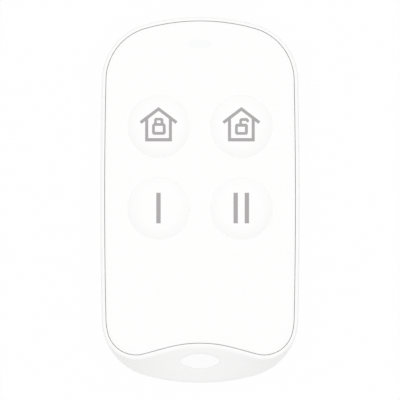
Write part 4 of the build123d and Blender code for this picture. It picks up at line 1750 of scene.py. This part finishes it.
def closed_lock_loops() -> list[list[Point]]:
    """Outlines of the closed padlock.

    Returns:
        The padlock, its body's window and the gap in its bow.
    """
    left, right, foot, top = -0.795, 0.867, 0.63, 1.509
    corners = rounded_box((-1.175, -1.554, 1.283, 0.488), 0.43)
    bow = rounded_box((left, 0.488, right, top), 0.38)
    quarter = len(corners) // 4
    shoulder = quarter // 2 + 1
    outline = [*corners[3 * quarter:], *corners[:shoulder], (right, foot), *bow[:2 * quarter]]
    outline += [(left, foot), *corners[2 * quarter - shoulder:3 * quarter]]
    window = rounded_box((-0.669, -1.03, 0.759, 0.054), 0.06)
    return [outline, window, rounded_box((-0.343, 0.56, 0.38, 1.039), 0.12)]


def open_lock_loops() -> list[list[Point]]:
    """Outlines of the open padlock.

    Returns:
        Its body, the body's window and its bow.
    """
    body = rounded_box((-1.139, -1.554, 1.175, 0.452), 0.42)
    window = rounded_box((-0.651, -1.057, 0.651, -0.09), 0.06)
    left, right, foot, top, under, tip_x = -0.361, 0.108, 0.42, 1.464, 0.949, 1.383
    corner, turn, cap, cap_drop = 0.47, 0.52, 0.257, 0.012
    bow = [
        (left, foot),
        *arc_points((left + corner, top - corner), corner, 180, 90),
        *arc_points((tip_x - turn, top - turn), turn, 90, 0),
        *arc_points((tip_x - cap, top - turn - cap_drop), cap, 0, -180),
        (tip_x - 2 * cap, under),
        (right, under),
        (right, foot),
    ]
    return [body, window, bow]


def flat_sign(name: str, loops: Sequence[Sequence[Point]], centre: Point) -> Object:
    """Fills outlines into a flat sign one unit thick, sliced finely enough to follow a dome.

    Args:
        name: The sign's name.
        loops: Its outlines in millimetres, with holes and islands in turn.
        centre: Where the sign's own centre goes.

    Returns:
        The sign's object.
    """
    line = bpy.data.curves.new(name, "CURVE")
    line.dimensions, line.fill_mode, line.extrude = "2D", "BOTH", 0.5
    for loop in loops:
        spline = line.splines.new("POLY")
        spline.points.add(len(loop) - 1)
        for point, (x, y) in zip(spline.points, loop):
            point.co = (x, y, 0, 1)
        spline.use_cyclic_u = True
    holder = placed(name + "_line", line)
    mesh = final_mesh(holder)
    bpy.data.objects.remove(holder)
    mesh.transform(Matrix.Diagonal((MM, MM, 1, 1)))
    with editing(mesh) as work:
        bmesh.ops.remove_doubles(work, verts=work.verts, dist=MERGE_DISTANCE)
        for normal in (Vector((1, 0, 0)), Vector((0, 1, 0))):
            for step in np.arange(-SIGN_REACH, SIGN_REACH, SIGN_SLICE):
                everything, place = [*work.verts, *work.edges, *work.faces], normal * float(step)
                bmesh.ops.bisect_plane(work, geom=everything, plane_co=place, plane_no=normal)
    mesh.transform(Matrix.Translation((*centre, 0)))
    return placed(name, mesh)


# Back of the fob


@dataclass
class BatteryDoor:
    """Round door with a coin slot, a cup for the cell, three lugs and a sunk arrowhead."""

    radius: float = 12.3 * MM
    low_z: float = 0.1 * MM
    cup_outer: float = 11.0 * MM
    cup_inner: float = 10.2 * MM
    lug_radius: float = 11.9 * MM
    lug_z: float = 2.43 * MM
    lug_overlap: float = 0.4 * MM
    lug_spread: float = 24.0
    lug_drop: float = 0.001 * MM
    edge: float = 0.2 * MM
    face_inset: float = 0.2 * MM
    slot_length: float = 12 * MM
    slot_width: float = 1.8 * MM
    slot_depth: float = 0.6 * MM
    slot_lip: float = 0.15 * MM
    around: int = 160
    edge_steps: int = 6
    lip_steps: int = 5
    mark_corners: int = 3
    mark_reach: float = 11.3 * MM
    mark_size: float = 0.55 * MM
    mark_depth: float = 0.15 * MM

    def build(self) -> Object:
        """Builds the door.

        Returns:
            Its object.
        """
        flange_z, cup_z = PLACES.flange_top_z, PLACES.cup_top_z
        profile = [(self.radius - self.edge - self.face_inset, self.low_z)]
        edge = quarter_round(self.edge, self.edge_steps)
        profile += [(self.radius - inset, self.low_z + z) for inset, z in edge]
        profile += [(self.radius, flange_z), (self.cup_outer, flange_z), (self.cup_outer, cup_z)]
        profile += [(self.cup_inner, cup_z), (self.cup_inner, flange_z)]
        door = lathe("battery_lid", PLACES.door, profile, self.around)
        near, high = self.cup_outer - self.lug_overlap, cup_z - self.lug_drop
        reach = (near, self.lug_radius)
        lugs = [door_sector(*reach, angle, self.lug_spread) for angle in PLACES.lug_angles]
        carve(door, joined([prism("lug", lug, self.lug_z, high) for lug in lugs]), Cut.ADD)
        carve(door, self._slot(), Cut.AWAY)
        carve(door, self._pointer(), Cut.AWAY)
        return hand_in(door, WHITE_CASE, "battery_door", "door")

    def _pointer(self) -> Object:
        """Tool for the sunk arrowhead that points at the marks on the housing.

        Returns:
            The tool.
        """
        centre = (PLACES.door[0], PLACES.door[1] + self.mark_reach - self.mark_size)
        circle = Arc(centre, self.mark_size, TOP_ANGLE, TOP_ANGLE + FULL_TURN)
        outline = circle.points(self.mark_corners)
        return prism("pointer", outline, -MM, self.low_z + self.mark_depth)

    def _slot(self) -> Object:
        """Tool for the coin slot, which widens softly at the door's face.

        Returns:
            The tool.
        """
        mouth, rings = (self.slot_lip, -MM - self.low_z), []
        lip = quarter_round(self.slot_lip, self.lip_steps)
        for grow, depth in (mouth, *lip, (0, self.slot_depth)):
            length, width = self.slot_length + 2 * grow, self.slot_width + 2 * grow
            rings.append(level(pill_outline(PLACES.door, length, width), self.low_z + depth))
        return skin("coin_slot", rings)


@dataclass
class CaseScrews:
    """Two pan-head screws in the back, with cross recesses and a rounded head."""

    head_radius: float = 1.7 * MM
    head_z: float = 0.7 * MM
    head_height: float = 1.2 * MM
    dish: float = 0.35 * MM
    dish_angles: tuple[float, ...] = (25, 45, 60, 72, 82, 90)
    shank_radius: float = 0.95 * MM
    root_share: float = 0.8
    turns: int = 13
    around: int = 40
    turn_rise: float = 0.12 * MM
    thread_gap: float = 0.6 * MM
    tip_radius: float = 0.25 * MM
    tip_z: float = 9.3 * MM
    cross_length: float = 1.9 * MM
    cross_width: float = 0.42 * MM
    cross_depth: float = 0.6 * MM
    cross_turns: Point = (0.0, 0.4)

    def build(self) -> Object:
        """Builds both screws as one piece.

        Returns:
            The screws' object.
        """
        head, shank = self.head_radius, self.shank_radius
        profile = [
            (head * sin(turn), self.head_z + self.dish * (1 - cos(turn)))
            for turn in np.radians(self.dish_angles)
        ]
        seat_z = self.head_z + self.head_height
        profile += [(head, seat_z), (shank, seat_z)]
        for z in np.linspace(seat_z + self.thread_gap, self.tip_z - self.thread_gap, self.turns):
            profile += [(shank * self.root_share, z - self.turn_rise), (shank, z)]
        screw = lathe("screw", (0, 0), [*profile, (self.tip_radius, self.tip_z)], self.around)
        cross, depth = (self.cross_length, self.cross_width), self.head_z + self.cross_depth
        for length, width in (cross, cross[::-1]):
            tool = prism("cross", box_outline((0, 0), length, width), 0, depth)
            carve(screw, tool, Cut.AWAY)
        finish_mesh(screw)
        places = [(*place, 0.0) for place in PLACES.screws]
        piece = repeat("screws", screw, places, self.cross_turns, SCREW_STEEL)
        return hand_in(piece, SCREW_STEEL, "case_screws")


def repeat(
    name: str, part: Object, places: Sequence[Any], turns: Sequence[float], finish: Finish
) -> Object:
    """Repeats a part at places, as one piece.

    Args:
        name: The new piece's name.
        part: The part, about the origin; it is removed.
        places: Where its copies go.
        turns: How far each copy is turned about Z, in radians.
        finish: The finish.

    Returns:
        The new piece.
    """
    piece = mesh_piece(name, places, [])
    turn = piece.data.attributes.new("turn", "FLOAT", "POINT")
    turn.data.foreach_set("value", list(turns))
    run_tree(piece, RULES.copies, finish, {"Part": part})
    bpy.data.objects.remove(part)
    return piece


# Works inside the case


@dataclass
class SwitchLeads:
    """The sixteen bent leads of the four switches."""

    switch_side: float = 5 * MM
    length: float = 0.9 * MM
    width: float = 0.7 * MM
    thickness: float = 0.25 * MM
    spread_share: float = 0.37
    toe_share: float = 0.6
    bend_share: float = 0.75
    heel_share: float = 0.6
    bend_x: float = 0.1 * MM

    def build(self) -> Object:
        """Builds the leads as one piece.

        Returns:
            Their object.
        """
        half, thick = self.length / 2, self.thickness
        side = [(-half, 0), (half, 0), (half, thick * self.toe_share)]
        side += [(self.bend_x, thick * self.bend_share), (-half * self.heel_share, thick)]
        side.append((-half, thick))
        rings = [np.array([(x, y, z) for x, z in side]) for y in (-self.width / 2, self.width / 2)]
        lead = skin("lead", rings)
        out, along = (self.switch_side + self.length) / 2, self.switch_side * self.spread_share
        places, turns = [], []
        for x, y in map(PLACES.key, KEY_NAMES):
            for across in (-1, 1):
                places += [(x + across * out, y + up * along, PLACES.board_top_z) for up in (-1, 1)]
                turns += [0.0 if across > 0 else pi] * 2
        piece = repeat("switch_leads", lead, places, turns, CONTACT_NICKEL)
        return hand_in(piece, CONTACT_NICKEL, "switch_terminals")


@dataclass
class SmallChips:
    """The rows of small parts beside the radio chip, with rounded ends."""

    length: float = 1.0 * MM
    width: float = 0.5 * MM
    height: float = 0.5 * MM
    corner: float = 0.06 * MM
    shoulder_share: float = 0.85
    top_share: float = 0.92
    pitch: float = 1.4 * MM
    rows: tuple[float, ...] = (-2 * MM, -3.6 * MM, 12.2 * MM)
    in_row: int = 4

    def build(self) -> Object:
        """Builds the parts as one piece.

        Returns:
            Their object.
        """
        x, y = self.width / 2, self.length / 2
        outline = np.array(rounded_box((-x, -y, x, y), self.corner))
        rings = [level(outline, 0), level(outline, self.height * self.shoulder_share)]
        chip = skin("chip", [*rings, level(outline * self.top_share, self.height)])
        across = [(number - (self.in_row - 1) / 2) * self.pitch for number in range(self.in_row)]
        places = [(x, y, PLACES.board_top_z) for y in self.rows for x in across]
        piece = repeat("small_chips", chip, places, [0.0] * len(places), CHIP_CERAMIC)
        return hand_in(piece, CHIP_CERAMIC, "chip_parts")


@dataclass
class SnapSpring:
    """The thin sprung dome of one switch, whose middle goes down with the stem."""

    name: str
    floor_z: float = 7.4 * MM
    rise: float = 0.45 * MM
    radius: float = 1.9 * MM
    thickness: float = 0.08 * MM
    rim_thickness: float = 0.05 * MM
    hole_share: float = 0.06
    rings: int = 12
    around: int = 48

    def build(self) -> Object:
        """Builds the dome.

        Returns:
            Its object.
        """
        shares, rim = np.linspace(self.hole_share, 1, self.rings), self.rim_thickness
        profile = []
        for way, lift, drop in ((1, 0.0, self.thickness), (-1, rim, rim)):
            for share in shares[::way]:
                bulge = (self.rise - drop) * (1 - share**2)
                profile.append((self.radius * share, self.floor_z + lift + bulge))
        centre = PLACES.key(self.name)
        spring = lathe(f"snap_spring_{self.name}", centre, profile, self.around)
        finish_mesh(spring, SPRING_STEEL)
        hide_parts(f"snap_dome_{self.name}")
        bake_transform(spring)
        return spring


@dataclass
class Indicator:
    """The indicator's window, a milky pipe with a flange under the cover."""

    length: float = 4.05 * MM
    width: float = 1.15 * MM
    foot_z: float = 8.0 * MM
    flange_z: float = 9.38 * MM
    flange_top_z: float = 9.98 * MM
    flange_reach: float = 0.6 * MM
    top_shares: Point = (1, 0.5)
    around: int = 48

    def build(self) -> Object:
        """Builds the window.

        Returns:
            Its object.
        """
        more = 2 * self.flange_reach
        small = pill_outline(PLACES.window, self.length, self.width, self.around)
        wide = pill_outline(PLACES.window, self.length + more, self.width + more, self.around)
        rings = [level(small, self.foot_z), level(small, self.flange_z), level(wide, self.flange_z)]
        rings += [level(wide, self.flange_top_z), level(small, self.flange_top_z)]
        middle = np.array(PLACES.window)
        rings += [OUTLINE.on_crown(middle + (small - middle) * share) for share in self.top_shares]
        return hand_in(skin("indicator_window", rings), MILKY_WINDOW, "light_pipe")


# Studio


@dataclass
class Studio:
    """Camera, light, world and floor."""

    pixels: int = 400
    metres_per_pixel: float = 0.18072 * MM
    object_pixel: Point = (200.05, 199.9)
    lens: float = 1200.0
    sensor: float = 36.0
    floor_size: float = 6.0
    floor_depth: float = 0.00002
    floor_white: float = 0.96
    floor_paper: float = 0.9
    world_strength: float = 0.84
    sight: Point = (0.01, 20)
    top_lamp: tuple[Any, ...] = ((0, 0, 0.64), 0.5, 0.78)
    low_lamp: tuple[Any, ...] = ((0, 0.6, 0.22), 0.3, 0.156)

    def build(self) -> None:
        """Builds the studio, with a large soft lamp above and a low one that models the domes."""
        bpy.context.scene.view_settings.view_transform = "Standard"
        self._camera()
        self._world()
        self._floor()
        self._lamp("soft_top", *self.top_lamp)
        self._lamp("soft_low", *self.low_lamp)

    def _camera(self) -> None:
        """Looks straight down on the fob, with its top end up."""
        camera = bpy.data.cameras.new("camera")
        camera.lens = self.lens
        camera.sensor_width = camera.sensor_height = self.sensor
        camera.sensor_fit = "HORIZONTAL"
        camera.clip_start, camera.clip_end = self.sight
        distance = self.pixels * self.metres_per_pixel * self.lens / self.sensor
        shift_x = (self.pixels / 2 - self.object_pixel[0]) * self.metres_per_pixel
        shift_y = (self.object_pixel[1] - self.pixels / 2) * self.metres_per_pixel
        holder = placed("camera", camera)
        holder.location = (shift_x, shift_y, OUTLINE.crown_top + distance)
        bpy.context.scene.camera = holder

    def _world(self) -> None:
        """Even pale light from all round, white where it is seen or mirrored."""
        world = bpy.data.worlds.new("studio")
        world.use_nodes = True
        bpy.context.scene.world = world
        tree = NodeTree(world.node_tree)
        tree.tree.nodes.clear()
        strength = tree.node("ShaderNodeMix", {"data_type": "FLOAT"})
        for index, value in ((0, self._seen(tree)), (2, self.world_strength), (3, 1.0)):
            tree.feed(strength.inputs[index], value)
        light = tree.out("ShaderNodeBackground", Color=(1, 1, 1, 1), Strength=strength.outputs[0])
        tree.node("ShaderNodeOutputWorld", Surface=light)

    @staticmethod
    def _seen(tree: NodeTree) -> NodeSocket:
        """Tells rays that see or mirror the surroundings from rays that light the object.

        Args:
            tree: The world's or the floor's tree.

        Returns:
            1 for rays that see or mirror, and 0 for others.
        """
        path = tree.node("ShaderNodeLightPath").outputs
        mirrored = tree.sum("MAXIMUM", path["Is Glossy Ray"], path["Is Transmission Ray"])
        return tree.sum("MAXIMUM", path["Is Camera Ray"], mirrored)

    def _floor(self) -> None:
        """White floor that keeps a faint shadow."""
        outline = box_outline((0, 0), self.floor_size, self.floor_size)
        floor = mesh_piece("floor", level(outline, -self.floor_depth), [(0, 1, 2, 3)])
        material = bpy.data.materials.new("floor_white")
        material.use_nodes = True
        tree = NodeTree(material.node_tree)
        tree.tree.nodes.clear()
        mix = tree.node("ShaderNodeMixShader")
        paper = tree.out("ShaderNodeBsdfDiffuse", Color=(*[self.floor_paper] * 3, 1))
        light = tree.out("ShaderNodeEmission", Color=(1, 1, 1, 1), Strength=1.0)
        share = tree.sum("MULTIPLY", self._seen(tree), self.floor_white)
        for socket, value in zip(mix.inputs, (share, paper, light)):
            tree.feed(socket, value)
        tree.node("ShaderNodeOutputMaterial", Surface=mix.outputs[0])
        floor.data.materials.append(material)

    @staticmethod
    def _lamp(name: str, place: tuple[float, ...], size: float, power: float) -> None:
        """Square lamp that faces the fob.

        Args:
            name: The lamp's name.
            place: Where it is.
            size: Its side.
            power: Its power in watts.
        """
        lamp = bpy.data.lights.new(name, "AREA")
        lamp.shape, lamp.size, lamp.energy = "SQUARE", size, power
        holder = placed(name, lamp)
        holder.location = place
        holder.rotation_euler = Vector(place).to_track_quat("Z", "Y").to_euler()


def dress_carried_nodes() -> None:
    """Gives every CAD node that stays in view its finish."""
    for name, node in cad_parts.items():
        if node.hide_render:
            continue
        kind = name
        for key_name in KEY_NAMES:
            kind = kind.removesuffix("_" + key_name)
        node.data.materials.clear()
        node.data.materials.append(CARRIED[kind].material())
        LOG.info("dressed %s", name)


def main() -> None:
    """Builds the studio and the fob, and reports each piece."""
    logging.basicConfig(level=logging.INFO, format="%(name)s: %(message)s")
    Studio().build()
    LOG.info("studio built")
    makers: list[Any] = [Housing(), Cover()]
    for name in KEY_NAMES:
        makers += [Key(name), SnapSpring(name)]
    makers += [Indicator(), BatteryDoor(), CaseScrews(), SwitchLeads(), SmallChips()]
    for maker in makers:
        piece = maker.build()
        LOG.info("built %s: %d faces", piece.name, len(piece.data.polygons))
    dress_carried_nodes()


if __name__ == "__main__":
    main()
